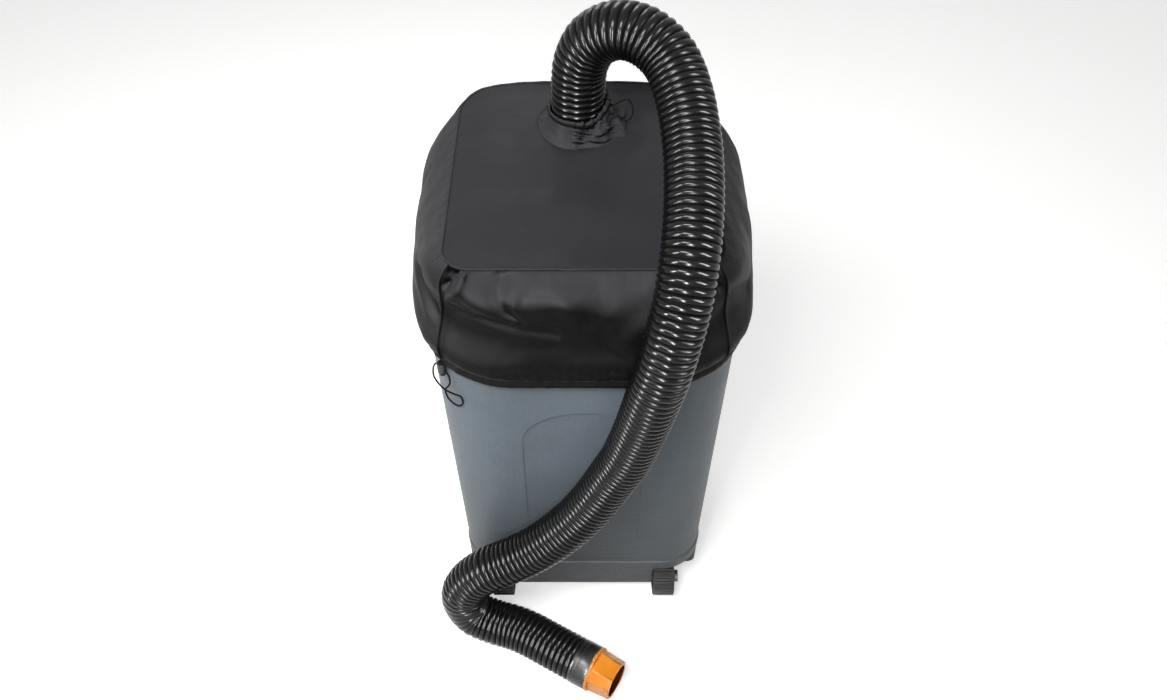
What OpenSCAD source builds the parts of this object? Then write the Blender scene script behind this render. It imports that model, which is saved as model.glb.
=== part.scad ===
// Leaf collector: a drawstring fabric hood over a wheeled bin, fed by a ribbed hose with a push-on adapter.
// Millimetres. +Z is up, the floor is z = 0, the origin is under the middle of the bin, the wheels face -Y.

/* [Bin] */
// Outside width of the bin just under its rim, side to side
bin_w = 610; // [508:1:732]
// Outside width of the bin just under its rim, front to back
bin_d = 560; // [466:1:672]
// How far the left and right walls lean in from the rim down to the underside
side_taper = 38; // [20:0.5:45]
// How far the front and back walls lean in from the rim down to the underside
front_taper = 13; // [4:0.5:20]
// Height of the rim above the floor
bin_h = 810; // [675:1:980]
// Wall of the moulding
bin_wall = 5; // [4:0.5:8]
// Radius of the upright corners under the rim
bin_corner_r = 180; // [120:1:200]
// Radius of the upright corners at the underside
base_corner_r = 80; // [50:1:90]
// Radius of the bottom edge
bin_edge_r = 18; // [10:1:24]
// Height of the underside above the floor
ground_gap = 22; // [16:1:36]
// How far the rolled rim stands out
rim_lip = 10; // [6:1:14]
// Height of the rolled rim
rim_h = 22; // [14:1:30]
// Height of the base band's top edge above the floor
band_top_z = 128; // [115:1:160]
// How far the base band stands out
band_step = 3; // [1:0.5:5]
// Width of the arched wall panel
arch_w = 245; // [180:1:300]
// Distance from the underside of the rim down to the top of the arch
arch_drop = 113; // [60:1:200]
// Height of the arch's round head
arch_head = 90; // [50:1:120]
// Depth of the arched panel
arch_depth = 2.5; // [1:0.5:3]
// Length of each rear foot, side to side
foot_w = 80; // [50:1:120]
// Width of each rear foot, front to back
foot_d = 46; // [30:1:70]

/* [Wheels] */
// Diameter over the tread
wheel_d = 90; // [75:1:108]
// Width of a wheel
wheel_w = 50; // [40:1:60]
// Distance from the bin's side, at its underside, in to the middle of a wheel
wheel_inset = 78; // [70:1:100]
// Distance from the bin's wheel-side wall, at its underside, in to the axle
axle_inset = 9; // [8:1:30]
// Room round a wheel in its well
well_gap = 8; // [5:1:12]
// Diameter of the axle rod
axle_d = 12; // [10:0.2:15]
// Number of ridges round the tread
tread_ridges = 36; // [24:1:48]
// Height of a tread ridge
ridge_h = 2; // [1:0.5:3]
// Thickness of the wheel's rim under the ridges
rim_t = 9; // [6:1:12]
// Depth of the dish in each face of a wheel
dish_depth = 15; // [8:1:18]
// Wall of an axle bush
bush_wall = 3; // [2:0.5:5]
// Depth that a bush goes into the bin
bush_len = 20; // [12:1:30]
// How far a bush's flange stands out
bush_lip = 4; // [2:0.5:6]
// Thickness of a bush's flange
bush_flange_t = 2; // [1.5:0.5:4]
// Wall of the axle caps
cap_wall = 8; // [4:1:10]
// Length of the axle caps
cap_len = 10; // [8:1:14]
// Thickness of the closed end of an axle cap
cap_end = 2; // [1.5:0.5:3]

/* [Hood] */
// Thickness of the cloth
cloth_t = 2; // [1:0.5:3]
// How far the top panel's seam lies inside the bin's left and right walls
top_side_inset = 60; // [30:1:80]
// How far the top panel's seam lies inside the bin's front and back walls
top_front_inset = 35; // [15:1:60]
// Corner radius of the top panel
top_corner_r = 50; // [30:1:60]
// Height of the top panel's seam over the bin's rim, halfway along its sides
top_rise = 218; // [180:1:226]
// How much the seam rises from halfway to the back, and falls to the front
top_tilt = 12; // [0:1:16]
// Height of the crown over the back seam
crown = 34; // [20:1:40]
// How far the left and right sides bulge
side_bulge = 44; // [35:1:70]
// How far the front and back bulge
front_bulge = 33; // [28:1:42]
// How much the front corners' radius grows at the bulge
front_corner_bulge = 120; // [60:1:150]
// How far the hem casing's top edge lies under the bin's rim
hem_drop = 6; // [2:1:120]
// Height of the hem casing
casing_h = 22; // [18:1:26]
// Thickness of the hem casing
casing_t = 10.5; // [9.5:0.5:14]
// Diameter of the drawcords
cord_d = 3.5; // [3:0.1:4.2]
// How far the collar's foot spreads past its casing
collar_flare = 15; // [8:1:24]
// Height of the collar's top edge over the top panel
collar_rise = 42; // [38:1:55]
// Height of the collar casing
collar_casing_h = 14; // [10:1:18]
// Thickness of the collar casing
collar_casing_t = 8; // [7:0.5:10]
// Number of gathers round the collar
gathers = 14; // [8:1:20]
// Depth of the gathers
gather_depth = 4; // [0:0.5:5]

/* [Hose] */
// Diameter over the ribs
hose_d = 102; // [85:1:104]
// Depth of the grooves between the ribs
rib_depth = 4; // [2:0.5:5]
// Wall of the hose under the grooves
hose_wall = 4; // [3:0.5:5]
// Distance from rib to rib
rib_pitch = 13; // [12:0.5:18]
// Length of the cuffs
cuff_len = 42; // [34:1:50]
// How far the cuffs lie inside the ribs
cuff_step = 0.5; // [0:0.5:2]

/* [Adapter] */
// Diameter of the tube socket
socket_d = 74; // [60:1:90]
// Length of the socket and of the faceted body round it
socket_len = 51; // [40:1:60]
// Least wall round the socket, at its mouth
socket_wall = 2.5; // [2:0.5:5]
// How far the tube's stop stands in from the socket
stop_lip = 2; // [1:0.5:4]
// Share of the body's width left at the mouth
body_taper = 0.93; // [0.9:0.01:1]
// Half the angle of a wide facet
facet_half = 28; // [24:1:34]
// Thickness of the flange
flange_t = 7; // [4:0.5:10]
// How far the flange stands out past the cuff and the body
flange_lip = 0.5; // [0:0.5:3]
// Length of the spigot inside the cuff
spigot_len = 30; // [20:1:33]
// Wall of the spigot
spigot_wall = 3; // [2:0.5:4]
// Thickness of the fins across the spigot
fin_t = 3; // [2:0.5:4]
// Length of the fins along the spigot
fin_len = 6; // [4:1:12]
// Height of the thumb lug on the flange
lug_h = 5; // [3:0.5:7]
// Width of the thumb lug
lug_w = 18; // [12:1:26]

/* [Cord lock] */
// Diameter of the barrel
lock_d = 18; // [16:0.5:22]
// Thickness of the barrel's closed end
roof_t = 2.5; // [2:0.5:4]
// Diameter of the push button
button_d = 10; // [8:0.5:11]
// How far the button reaches into the barrel
button_in = 12.5; // [12:0.5:16]
// Travel of the push button
button_travel = 5; // [3:0.5:6]
// Thickness of the button's head
head_t = 1.5; // [1:0.5:3]
// How far the button's head stands out
head_lip = 1.5; // [0.5:0.5:3]
// Height of the cord hole over the barrel's open end
cross_up = 10; // [9:0.5:12]
// Room left for the spring with the button pressed
spring_room = 4; // [3.5:0.5:6]
// Diameter of the spring's wire
spring_wire = 0.7; // [0.5:0.1:0.8]
// Number of turns of the spring
spring_turns = 4; // [3:1:4]

/* [Hidden] */
$fn = 48;

// Clearances: running fits, side play of moving pieces, cloth against plastic, cord in its channel
run_gap = 0.05;
side_gap = 0.3;
cloth_gap = 0.4;
cord_gap = 0.6;
lock_gap = 1;
// How far a cutting shape runs past what it cuts, and a cut longer than the bin
past = 1;
big = 1500;

// How finely the soft shapes are drawn
quarter_steps = 8;
seam_steps = 4;
panel_rows = 8;
top_rows = 5;
sleeve_rows = 5;
gather_points = 4;
cord_sides = 8;
hose_sides = 8;
wire_sides = 6;
cord_ring_step = 2.2;
curve_steps = 8;
turn_points = 12;

// The hose from inside the hood, up over the collar, down the front and along the floor to the cuff
hose_route = [[-10, 110, 960], [-10, 110, 1030], [-10, 110, 1100], [-9, 110, 1160], [-3, 108, 1205],
    [19, 100, 1249], [60, 82, 1277], [106, 58, 1278], [147, 22, 1256], [170, -30, 1221], [181, -90, 1181],
    [184, -150, 1146], [181, -215, 1110], [174, -275, 1065], [163, -320, 1005], [148, -348, 940],
    [134, -360, 870], [121, -357, 800], [105, -346, 708], [84, -337, 615], [57, -331, 540], [25, -330, 465],
    [-10, -331, 400], [-55, -334, 340], [-105, -339, 290], [-160, -344, 252], [-213, -347, 218],
    [-256, -350, 168], [-272, -354, 114], [-250, -368, 68], [-205, -383, 54], [-160, -396, 52],
    [-118, -415, 52], [-66, -445, 52], [-14, -475, 52]];
// The free loop under the cord lock, from one side of the barrel round to the other
tail_route = [[-265, -229, 745], [-259, -235, 742], [-256, -237, 732], [-256, -237, 718], [-260, -235, 706],
    [-266, -231, 695], [-269, -228, 684], [-265, -233, 670], [-255, -239, 660], [-245, -243, 657],
    [-237, -247, 664], [-234, -249, 677], [-238, -246, 688], [-250, -246, 695], [-266, -239, 699],
    [-280, -227, 704], [-289, -217, 714], [-290, -209, 728], [-285, -207, 739], [-278, -213, 745],
    [-275, -217, 745]];
// The free loop at the collar
loop_route = [[50, 112, 1100], [58, 115, 1105], [70, 121, 1110], [84, 127, 1110], [92, 124, 1100],
    [93, 112, 1090], [87, 101, 1084], [78, 97, 1083], [68, 99, 1088], [58, 100, 1094], [50, 103, 1097]];

// Derived bin and wheel sizes
bin_base_w = bin_w - 2 * side_taper;
bin_base_d = bin_d - 2 * front_taper;
rim_z = bin_h - rim_h;
arch_top_z = rim_z - arch_drop;
wheel_r = wheel_d / 2;
wheel_x = bin_base_w / 2 - wheel_inset;
axle_y = axle_inset - bin_base_d / 2;
wheel_in_x = wheel_x - wheel_w / 2;
well_x = wheel_in_x - side_gap - bush_flange_t;
well_y = axle_y + wheel_r + well_gap;
well_z = wheel_d + well_gap;
hole_r = axle_d / 2 + run_gap;
bush_r = axle_d / 2 + bush_wall;
cap_r = axle_d / 2 + cap_wall;
cap_x = wheel_x + wheel_w / 2 + side_gap;
axle_half = cap_x + cap_len - cap_end;

// Derived hood sizes
panel_z = rim_z - hem_drop;
hem_z = panel_z - casing_h;
top_seam_z = bin_h + top_rise;
top_half_x = bin_w / 2 - top_side_inset;
top_half_y = bin_d / 2 - top_front_inset;
cord_r = cord_d / 2;
casing_mid = casing_t / 2 + cloth_gap;
collar_xy = [hose_route[0][0], hose_route[0][1]];
collar_in_r = hose_d / 2 + cloth_gap;
collar_mid_r = collar_in_r + collar_casing_t / 2;
collar_out_r = collar_in_r + collar_casing_t;
collar_foot_r = collar_out_r + collar_flare;

// Derived hose and adapter sizes
crest_r = hose_d / 2;
groove_r = crest_r - rib_depth;
bore_r = groove_r - hose_wall;
cuff_r = crest_r - cuff_step;
spigot_r = bore_r - run_gap;
body_r = (socket_d / 2 + socket_wall) / cos(facet_half) / body_taper;
flange_r = max(cuff_r, body_r) + flange_lip;
throat_r = min(spigot_r - spigot_wall, socket_d / 2 - stop_lip);

// Derived cord lock sizes
lock_turn = 40;
lock_h = button_in + button_travel + spring_room + roof_t;
lock_z = hem_z - lock_gap - lock_h;
button_out = button_travel + head_t + side_gap;
cross_z = lock_z + cross_up;
cross_d = cord_d + 2 * cord_gap;

// The bin's half widths and corner radius at a height, without the base band, and the lean of its front wall
function up_wall(z) = min((z - ground_gap) / (rim_z - ground_gap), 1);
function bin_half_x(z) = bin_base_w / 2 + side_taper * up_wall(z);
function bin_half_y(z) = bin_base_d / 2 + front_taper * up_wall(z);
function bin_corner(z) = base_corner_r + (bin_corner_r - base_corner_r) * up_wall(z);
lean = atan(front_taper / (rim_z - ground_gap));

// One point of a rounded rectangle: half sizes a and b, corner radius r, quarter q, angle t in the quarter
function corner_sign(q) = [[1, 1], [-1, 1], [-1, -1], [1, -1]][q % 4];
function corner_pt(a, b, r, q, t) =
    let (s = corner_sign(q), angle = 90 * (q % 4) + t)
    [s[0] * (a - r) + r * cos(angle), s[1] * (b - r) + r * sin(angle)];
function bin_ring(z, inset) = [for (q = [0:3], i = [0:quarter_steps])
    let (p = corner_pt(bin_half_x(z) - inset, bin_half_y(z) - inset, bin_corner(z) - inset, q, 90 * i / quarter_steps))
    [p[0], p[1], z]];
function backwards(list) = [for (i = [len(list) - 1:-1:0]) list[i]];

// A closed skin over a list of rings, either capped at both ends or joined end to end
module skin(rings, capped) {
    n = len(rings[0]);
    count = len(rings);
    last = capped ? count - 2 : count - 1;
    sides = [for (k = [0:last], i = [0:n - 1])
        let (a = k * n + i, b = k * n + (i + 1) % n, c = ((k + 1) % count) * n)
        each [[a, c + i, b], [b, c + i, c + (i + 1) % n]]];
    caps = [for (i = [0:floor(n / 2) - 2]) each [[i, i + 1, n - 1 - i], [i + 1, n - 2 - i, n - 1 - i]]];
    top = (count - 1) * n;
    ends = capped ? concat(caps, [for (f = caps) [top + f[2], top + f[1], top + f[0]]]) : [];
    polyhedron(points = [for (r = rings) each r], faces = concat(sides, ends));
}

// A smooth curve through a route's points, and the point and direction at a distance along it
function curve_pt(p, i, t) =
    let (a = p[max(i - 1, 0)], b = p[i], c = p[i + 1], d = p[min(i + 2, len(p) - 1)])
    (2 * b + (c - a) * t + (2 * a - 5 * b + 4 * c - d) * t * t + (3 * b - a - 3 * c + d) * t * t * t) / 2;
function curve(p) = concat(
    [for (i = [0:len(p) - 2], k = [0:curve_steps - 1]) curve_pt(p, i, k / curve_steps)],
    [p[len(p) - 1]]);
function run_lengths(p) = [for (i = 0, s = 0; i < len(p);
    s = s + (i + 1 < len(p) ? norm(p[i + 1] - p[i]) : 0), i = i + 1) s];
function span_at(runs, s, lo, hi) = hi - lo <= 1 ? lo :
    let (mid = floor((lo + hi) / 2)) runs[mid] > s ? span_at(runs, s, lo, mid) : span_at(runs, s, mid, hi);
function point_at(p, runs, s) =
    let (i = span_at(runs, s, 0, len(p) - 1), t = (s - runs[i]) / (runs[i + 1] - runs[i]))
    p[i] + (p[i + 1] - p[i]) * t;
function unit(v) = v / norm(v);
function heading(p, runs, s) =
    let (whole = runs[len(runs) - 1], e = whole / 500)
    unit(point_at(p, runs, min(s + e, whole)) - point_at(p, runs, max(s - e, 0)));

// Rings of a tube at distances along a curve, without twist; each stop is [distance, radius]
function carried(v, t) = unit(v - (v * t) * t);
function tube_rings(p, runs, stops, sides, first) =
    let (heads = [for (s = stops) heading(p, runs, s[0])],
        normals = [for (i = 0, v = carried(first, heads[0]); i < len(stops);
            i = i + 1, v = i < len(stops) ? carried(v, heads[i]) : v) v])
    [for (i = [0:len(stops) - 1])
        let (o = point_at(p, runs, stops[i][0]), u = normals[i], w = cross(heads[i], u))
        [for (k = [0:sides - 1]) o + stops[i][1] * (u * cos(360 * k / sides) + w * sin(360 * k / sides))]];
module cord_tube(route, first) {
    p = curve(route);
    runs = run_lengths(p);
    whole = runs[len(runs) - 1];
    count = round(whole / (cord_ring_step * cord_d));
    stops = [for (i = [0:count]) [whole * i / count, cord_r]];
    skin(tube_rings(p, runs, stops, cord_sides, first), true);
}

// The bin
module bin_outside() {
    edge_in = bin_edge_r * (1 - cos(45));
    skin([bin_ring(ground_gap, bin_edge_r - band_step),
        bin_ring(ground_gap + edge_in, edge_in - band_step),
        bin_ring(ground_gap + bin_edge_r, -band_step),
        bin_ring(band_top_z - band_step, -band_step),
        bin_ring(band_top_z, 0),
        bin_ring(rim_z, 0),
        bin_ring(rim_z, -rim_lip),
        bin_ring(bin_h, -rim_lip)], true);
}
module bin_inside() {
    floor_z = ground_gap + bin_wall;
    skin([bin_ring(floor_z, bin_edge_r + bin_wall),
        bin_ring(floor_z + bin_edge_r, bin_wall),
        bin_ring(rim_z, bin_wall),
        bin_ring(bin_h + past, bin_wall)], true);
}
module wheel_wells(grow) {
    for (side = [-1, 1])
        translate([side * (well_x - grow + big / 2), well_y + grow - big / 2, well_z + grow - big / 2])
            cube(big, center = true);
}
module axle_tunnel() {
    tunnel = bush_r + bin_wall;
    translate([-well_x, axle_y - big, 0]) cube([2 * well_x, big + tunnel, wheel_r + tunnel]);
}
module along_axle(x, r, length) {
    translate([x, axle_y, wheel_r]) rotate([0, 90, 0]) cylinder(h = length, r = r);
}
module arch_outline() {
    steps = 16;
    side_h = arch_top_z - band_top_z - arch_head;
    head = [for (i = [0:steps]) let (t = 180 * i / steps)
        [arch_w / 2 * cos(t), side_h + arch_head * sin(t)]];
    polygon(concat(head, [[-arch_w / 2, 0], [arch_w / 2, 0]]));
}
module arch_recess() {
    translate([0, arch_depth - bin_half_y(band_top_z), band_top_z]) rotate([90 + lean, 0, 0])
        linear_extrude(height = rim_lip + bin_wall) arch_outline();
}
module rear_feet() {
    foot_x = bin_half_x(ground_gap) - base_corner_r - foot_w;
    foot_y = bin_half_y(ground_gap) - bin_edge_r - bin_wall - foot_d;
    for (x = [-foot_x - foot_w, foot_x])
        translate([x, foot_y, 0]) cube([foot_w, foot_d, ground_gap + bin_wall]);
}
module bin_tub() color("#6b757d") difference() {
    union() {
        difference() {
            bin_outside();
            bin_inside();
        }
        intersection() {
            bin_outside();
            union() {
                wheel_wells(bin_wall);
                axle_tunnel();
            }
        }
        rear_feet();
    }
    wheel_wells(0);
    for (turn = [0, 180]) rotate([0, 0, turn]) arch_recess();
    along_axle(-well_x - past, hole_r, 2 * (well_x + past));
    along_axle(-well_x - past, bush_r, bush_len + past);
    along_axle(well_x - bush_len, bush_r, bush_len + past);
}

// The axle and its wheels
module axle_rod() color("#9a9da0") along_axle(-axle_half, axle_d / 2, 2 * axle_half);
module axle_bush() difference() {
    union() {
        along_axle(well_x - bush_len, bush_r, bush_len + bush_flange_t);
        along_axle(well_x, bush_r + bush_lip, bush_flange_t);
    }
    along_axle(well_x - bush_len - past, hole_r, bush_len + bush_flange_t + 2 * past);
}
module wheel_ridge() {
    translate([wheel_in_x, -ridge_h, -wheel_r]) cube([wheel_w, 2 * ridge_h, 2 * ridge_h]);
}
module wheel_dish(x) difference() {
    along_axle(x, wheel_r - ridge_h - rim_t, dish_depth + past);
    along_axle(x - past, cap_r, dish_depth + 3 * past);
}
module wheel() difference() {
    union() {
        along_axle(wheel_in_x, wheel_r - ridge_h, wheel_w);
        for (i = [0:tread_ridges - 1])
            translate([0, axle_y, wheel_r]) rotate([360 * i / tread_ridges, 0, 0]) wheel_ridge();
    }
    wheel_dish(wheel_in_x - past);
    wheel_dish(wheel_in_x + wheel_w - dish_depth);
    along_axle(wheel_in_x - past, hole_r, wheel_w + 2 * past);
}
module axle_cap() difference() {
    along_axle(cap_x, cap_r, cap_len);
    along_axle(cap_x - past, axle_d / 2, cap_len - cap_end + past);
}
module axle_bush_left() color("#2b2c2e") mirror([1, 0, 0]) axle_bush();
module axle_bush_right() color("#2b2c2e") axle_bush();
module wheel_left() color("#2d2e30") mirror([1, 0, 0]) wheel();
module wheel_right() color("#2d2e30") wheel();
module axle_cap_left() color("#1f2022") mirror([1, 0, 0]) axle_cap();
module axle_cap_right() color("#1f2022") axle_cap();

// The hood: four side panels sewn to a crowned top panel
panel_corner_r = bin_corner(panel_z) + cloth_gap + casing_t;
panel_half_x = bin_half_x(panel_z) + cloth_gap + casing_t;
panel_half_y = bin_half_y(panel_z) + cloth_gap + casing_t;
function swell(s) = 4 * s * (1 - s);
function crown_z(x, y) = top_seam_z + top_tilt * y / top_half_y
    + crown * (1 - pow(x / top_half_x, 4)) * (1 - pow((1 - y / top_half_y) / 2, 2));
function hood_pt(q, t, s, inset) =
    let (half_x = panel_half_x + (top_half_x - panel_half_x) * s + side_bulge * swell(s) - inset,
        half_y = panel_half_y + (top_half_y - panel_half_y) * s + front_bulge * swell(s) - inset,
        bulge = q % 4 < 2 ? 0 : front_corner_bulge,
        r = panel_corner_r + (top_corner_r - panel_corner_r) * s + bulge * pow(swell(s), 2) - inset,
        p = corner_pt(half_x, half_y, r, q, t),
        seam = corner_pt(top_half_x, top_half_y, top_corner_r, q, t))
    [p[0], p[1], panel_z + (crown_z(seam[0], seam[1]) - panel_z) * s];
function panel_row(q, s, inset) = concat(
    [for (i = [0:seam_steps]) hood_pt(q, 45 + 45 * i / seam_steps, s, inset)],
    [for (i = [0:seam_steps]) hood_pt(q + 1, 45 * i / seam_steps, s, inset)]);
module hood_side(q) {
    skin([for (k = [0:panel_rows]) let (s = k / panel_rows)
        concat(panel_row(q, s, 0), backwards(panel_row(q, s, cloth_t)))], true);
}
function collar_pt(angle, r) = collar_xy + r * [cos(angle), sin(angle)];
function top_ring(out, lift) = [for (q = [0:3], i = [0:2 * seam_steps])
    let (t = 45 * i / seam_steps, foot = collar_pt(90 * q + t, collar_foot_r),
        p = foot + (corner_pt(top_half_x, top_half_y, top_corner_r, q, t) - foot) * out)
    [p[0], p[1], crown_z(p[0], p[1]) + lift]];
module hood_top_panel() {
    color("#3a3a3c") skin(concat([for (k = [top_rows:-1:0]) top_ring(k / top_rows, cloth_t)],
        [for (k = [0:top_rows]) top_ring(k / top_rows, 0)]), false);
}
module hood_back_panel() color("#2e2e30") hood_side(0);
module hood_left_panel() color("#2c2c2e") hood_side(1);
module hood_front_panel() color("#29292b") hood_side(2);
module hood_right_panel() color("#2c2c2e") hood_side(3);

// The hem: a folded casing open for a short way at the cord lock, with the drawcord inside
casing_gap_turn = 6;
hem_mid_z = hem_z + casing_h / 2;
hem_corner_r = bin_corner(panel_z) + casing_mid;
hem_half_x = bin_half_x(panel_z) + casing_mid;
hem_half_y = bin_half_y(panel_z) + casing_mid;
function hem_arc(q, from, to, steps) = [for (i = [0:steps])
    let (t = from + (to - from) * i / steps, p = corner_pt(hem_half_x, hem_half_y, hem_corner_r, q, t))
    [p[0], p[1], 90 * q + t]];
hem_stations = concat(hem_arc(2, lock_turn + casing_gap_turn, 90, quarter_steps),
    [for (q = [3:5]) each hem_arc(q, 0, 90, quarter_steps)],
    hem_arc(6, 0, lock_turn - casing_gap_turn, quarter_steps));
// The folded casing's outline: out from the wall, and up from the hem
casing_slit = 0.5;
casing_outline = let (h = casing_h, t = casing_t / 2, w = cloth_t, m = casing_h / 2)
    [[t, 0], [t, h], [-t, h], [-t, m + casing_slit], [w - t, m + casing_slit], [w - t, h - w], [t - w, h - w],
        [t - w, w], [w - t, w], [w - t, m - casing_slit], [-t, m - casing_slit], [-t, 0]];
module hem_casing() {
    color("#2a2a2c") skin([for (s = hem_stations) [for (c = casing_outline)
        [s[0] + c[0] * cos(s[2]), s[1] + c[0] * sin(s[2]), hem_z + c[1]]]], true);
}
module hem_drawcord() {
    spread = asin(lock_d / 3 / hem_corner_r);
    ends = [for (turn = [-spread, spread]) corner_pt(hem_half_x, hem_half_y, hem_corner_r, 2, lock_turn + turn)];
    low_z = lock_z + lock_h + side_gap;
    bend_z = hem_z + cord_d;
    path = concat([[ends[1][0], ends[1][1], low_z], [ends[1][0], ends[1][1], bend_z]],
        [for (s = hem_stations) [s[0], s[1], hem_mid_z]],
        [[ends[0][0], ends[0][1], bend_z], [ends[0][0], ends[0][1], low_z]]);
    runs = run_lengths(path);
    stops = [for (s = runs) [s, cord_r]];
    color("#17181a") skin(tube_rings(path, runs, stops, cord_sides, [1, 0, 0]), true);
}
module hem_cord_tail() color("#17181a") cord_tube(tail_route, [0, 1, 0]);

// The cord lock: a sprung button in a barrel; pressing it lines its cross hole up with the barrel's
lock_top_z = lock_z + lock_h;
lock_xy = let (r = bin_corner(lock_top_z), d = r + lock_gap + lock_d / 2)
    [r - bin_half_x(lock_top_z) - d * cos(lock_turn), r - bin_half_y(lock_top_z) - d * sin(lock_turn)];
module at_lock(z) {
    translate([lock_xy[0], lock_xy[1], z]) rotate([0, 0, lock_turn]) children();
}
module cross_hole() {
    rotate([90, 0, 0]) cylinder(h = lock_d + 2 * past, d = cross_d, center = true);
}
module cord_lock_barrel() color("#121314") difference() {
    at_lock(lock_z) cylinder(h = lock_h, d = lock_d);
    at_lock(lock_z - past) cylinder(h = lock_h - roof_t + past, d = button_d + 2 * side_gap);
    at_lock(cross_z) cross_hole();
}
module cord_lock_button() color("#1b1c1e") difference() {
    union() {
        at_lock(lock_z - button_out) cylinder(h = button_out + button_in, d = button_d);
        at_lock(lock_z - button_out) cylinder(h = head_t, d = button_d + 2 * head_lip);
    }
    at_lock(cross_z - button_travel) cross_hole();
}
module cord_lock_spring() {
    top = lock_z + lock_h - roof_t - side_gap - spring_wire / 2;
    low = lock_z + button_in + side_gap + spring_wire / 2;
    coil_r = button_d / 2 - spring_wire / 2 - side_gap;
    count = turn_points * spring_turns;
    path = [for (i = [0:count]) let (a = 360 * i / turn_points)
        [lock_xy[0] + coil_r * cos(a), lock_xy[1] + coil_r * sin(a), low + (top - low) * i / count]];
    runs = run_lengths(path);
    stops = [for (s = runs) [s, spring_wire / 2]];
    color("#8d9093") skin(tube_rings(path, runs, stops, wire_sides, [0, 0, 1]), true);
}

// The collar: a gathered sleeve, a casing round the hose, and its drawcord
collar_low_z = crown_z(collar_xy[0], collar_xy[1]) + collar_rise - collar_casing_h;
function sleeve_ring(s, inset) = [for (i = [0:gather_points * gathers - 1])
    let (angle = 360 * i / gather_points / gathers,
        r = collar_foot_r + (collar_out_r - collar_foot_r) * sqrt(s) - inset,
        p = collar_pt(angle, r + gather_depth * swell(s) * cos(gathers * angle)),
        foot = collar_pt(angle, collar_foot_r),
        foot_z = crown_z(foot[0], foot[1]) + cloth_t)
    [p[0], p[1], foot_z + (collar_low_z - foot_z) * s]];
module collar_sleeve() {
    color("#333335") skin(concat([for (k = [sleeve_rows:-1:0]) sleeve_ring(k / sleeve_rows, cloth_t)],
        [for (k = [0:sleeve_rows]) sleeve_ring(k / sleeve_rows, 0)]), false);
}
module at_collar() {
    translate([collar_xy[0], collar_xy[1], collar_low_z]) rotate_extrude($fn = 64) children();
}
module collar_casing() color("#2d2d2f") at_collar() difference() {
    slit = 0.8;
    translate([collar_in_r, 0]) square([collar_casing_t, collar_casing_h]);
    translate([collar_mid_r, collar_casing_h / 2]) circle(r = cord_r + cord_gap, $fn = 24);
    translate([collar_mid_r - slit / 2, collar_casing_h / 2]) square([slit, collar_casing_h]);
}
module collar_drawcord() color("#17181a") at_collar()
    translate([collar_mid_r, collar_casing_h / 2]) circle(r = cord_r, $fn = 24);
module collar_cord_loop() color("#17181a") cord_tube(loop_route, [0, 0, 1]);

// The hose, its cuffs and its adapter
hose_curve = curve(hose_route);
hose_runs = run_lengths(hose_curve);
hose_len = hose_runs[len(hose_runs) - 1];
hose_end = hose_route[len(hose_route) - 1];
hose_dir = unit(hose_end - hose_route[len(hose_route) - 2]);
end_turn = atan2(hose_dir[1], hose_dir[0]);
module ribbed_hose() {
    ribs = floor(hose_len / rib_pitch);
    bore_rings = floor(ribs / 2);
    outside = [for (k = [0:2 * ribs]) [hose_len * k / (2 * ribs), k % 2 == 0 ? groove_r : crest_r]];
    inside = [for (k = [0:bore_rings]) [hose_len * k / bore_rings, bore_r]];
    first = [1, 0, 0];
    color("#17181a") skin(concat(backwards(tube_rings(hose_curve, hose_runs, outside, hose_sides, first)),
        tube_rings(hose_curve, hose_runs, inside, hose_sides, first)), false);
}
module cuff() difference() {
    cylinder(h = cuff_len, r = cuff_r);
    translate([0, 0, -past]) cylinder(h = cuff_len + 2 * past, r = bore_r);
}
module hose_upper_cuff() color("#1d1e20") translate(hose_route[0] - [0, 0, cuff_len]) cuff();
module at_hose_end(along) {
    translate(hose_end) rotate([0, 0, end_turn]) rotate([0, 90, 0]) translate([0, 0, along]) children();
}
module hose_lower_cuff() color("#1d1e20") at_hose_end(0) cuff();
module facets() {
    polygon([for (k = [0:3], e = [-1, 1]) let (t = 90 * k + facet_half * e) body_r * [cos(t), sin(t)]]);
}
module hose_adapter() color("#f28c1a") at_hose_end(cuff_len + side_gap) {
    difference() {
        union() {
            cylinder(h = flange_t, r = flange_r);
            translate([0, 0, flange_t]) linear_extrude(height = socket_len, scale = body_taper) facets();
            translate([0, 0, -spigot_len]) cylinder(h = spigot_len + past, r = spigot_r);
            translate([-flange_r - lug_h, -lug_w / 2, 0]) cube([lug_h + spigot_wall, lug_w, flange_t]);
        }
        translate([0, 0, flange_t]) cylinder(h = socket_len + past, d = socket_d);
        translate([0, 0, -spigot_len - past]) cylinder(h = spigot_len + flange_t + 2 * past, r = throat_r);
    }
    for (turn = [0, 90])
        translate([0, 0, -spigot_len]) rotate([0, 0, turn])
            translate([-throat_r - past, -fin_t / 2, 0]) cube([2 * (throat_r + past), fin_t, fin_len]);
}

bin_tub();
axle_rod();
axle_bush_left();
axle_bush_right();
wheel_left();
wheel_right();
axle_cap_left();
axle_cap_right();
hood_top_panel();
hood_front_panel();
hood_right_panel();
hood_back_panel();
hood_left_panel();
hem_casing();
hem_drawcord();
hem_cord_tail();
cord_lock_barrel();
cord_lock_button();
cord_lock_spring();
collar_sleeve();
collar_casing();
collar_drawcord();
collar_cord_loop();
hose_upper_cuff();
ribbed_hose();
hose_lower_cuff();
hose_adapter();
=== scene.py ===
# A leaf collector: a drawstring cloth hood over a wheeled bin, fed by a ribbed hose with an orange adapter.
# Metres. +Z is up, the floor is z = 0 and the wheels face -Y.
import math

import bmesh
import bpy
from mathutils import Matrix, Vector, noise


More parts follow.
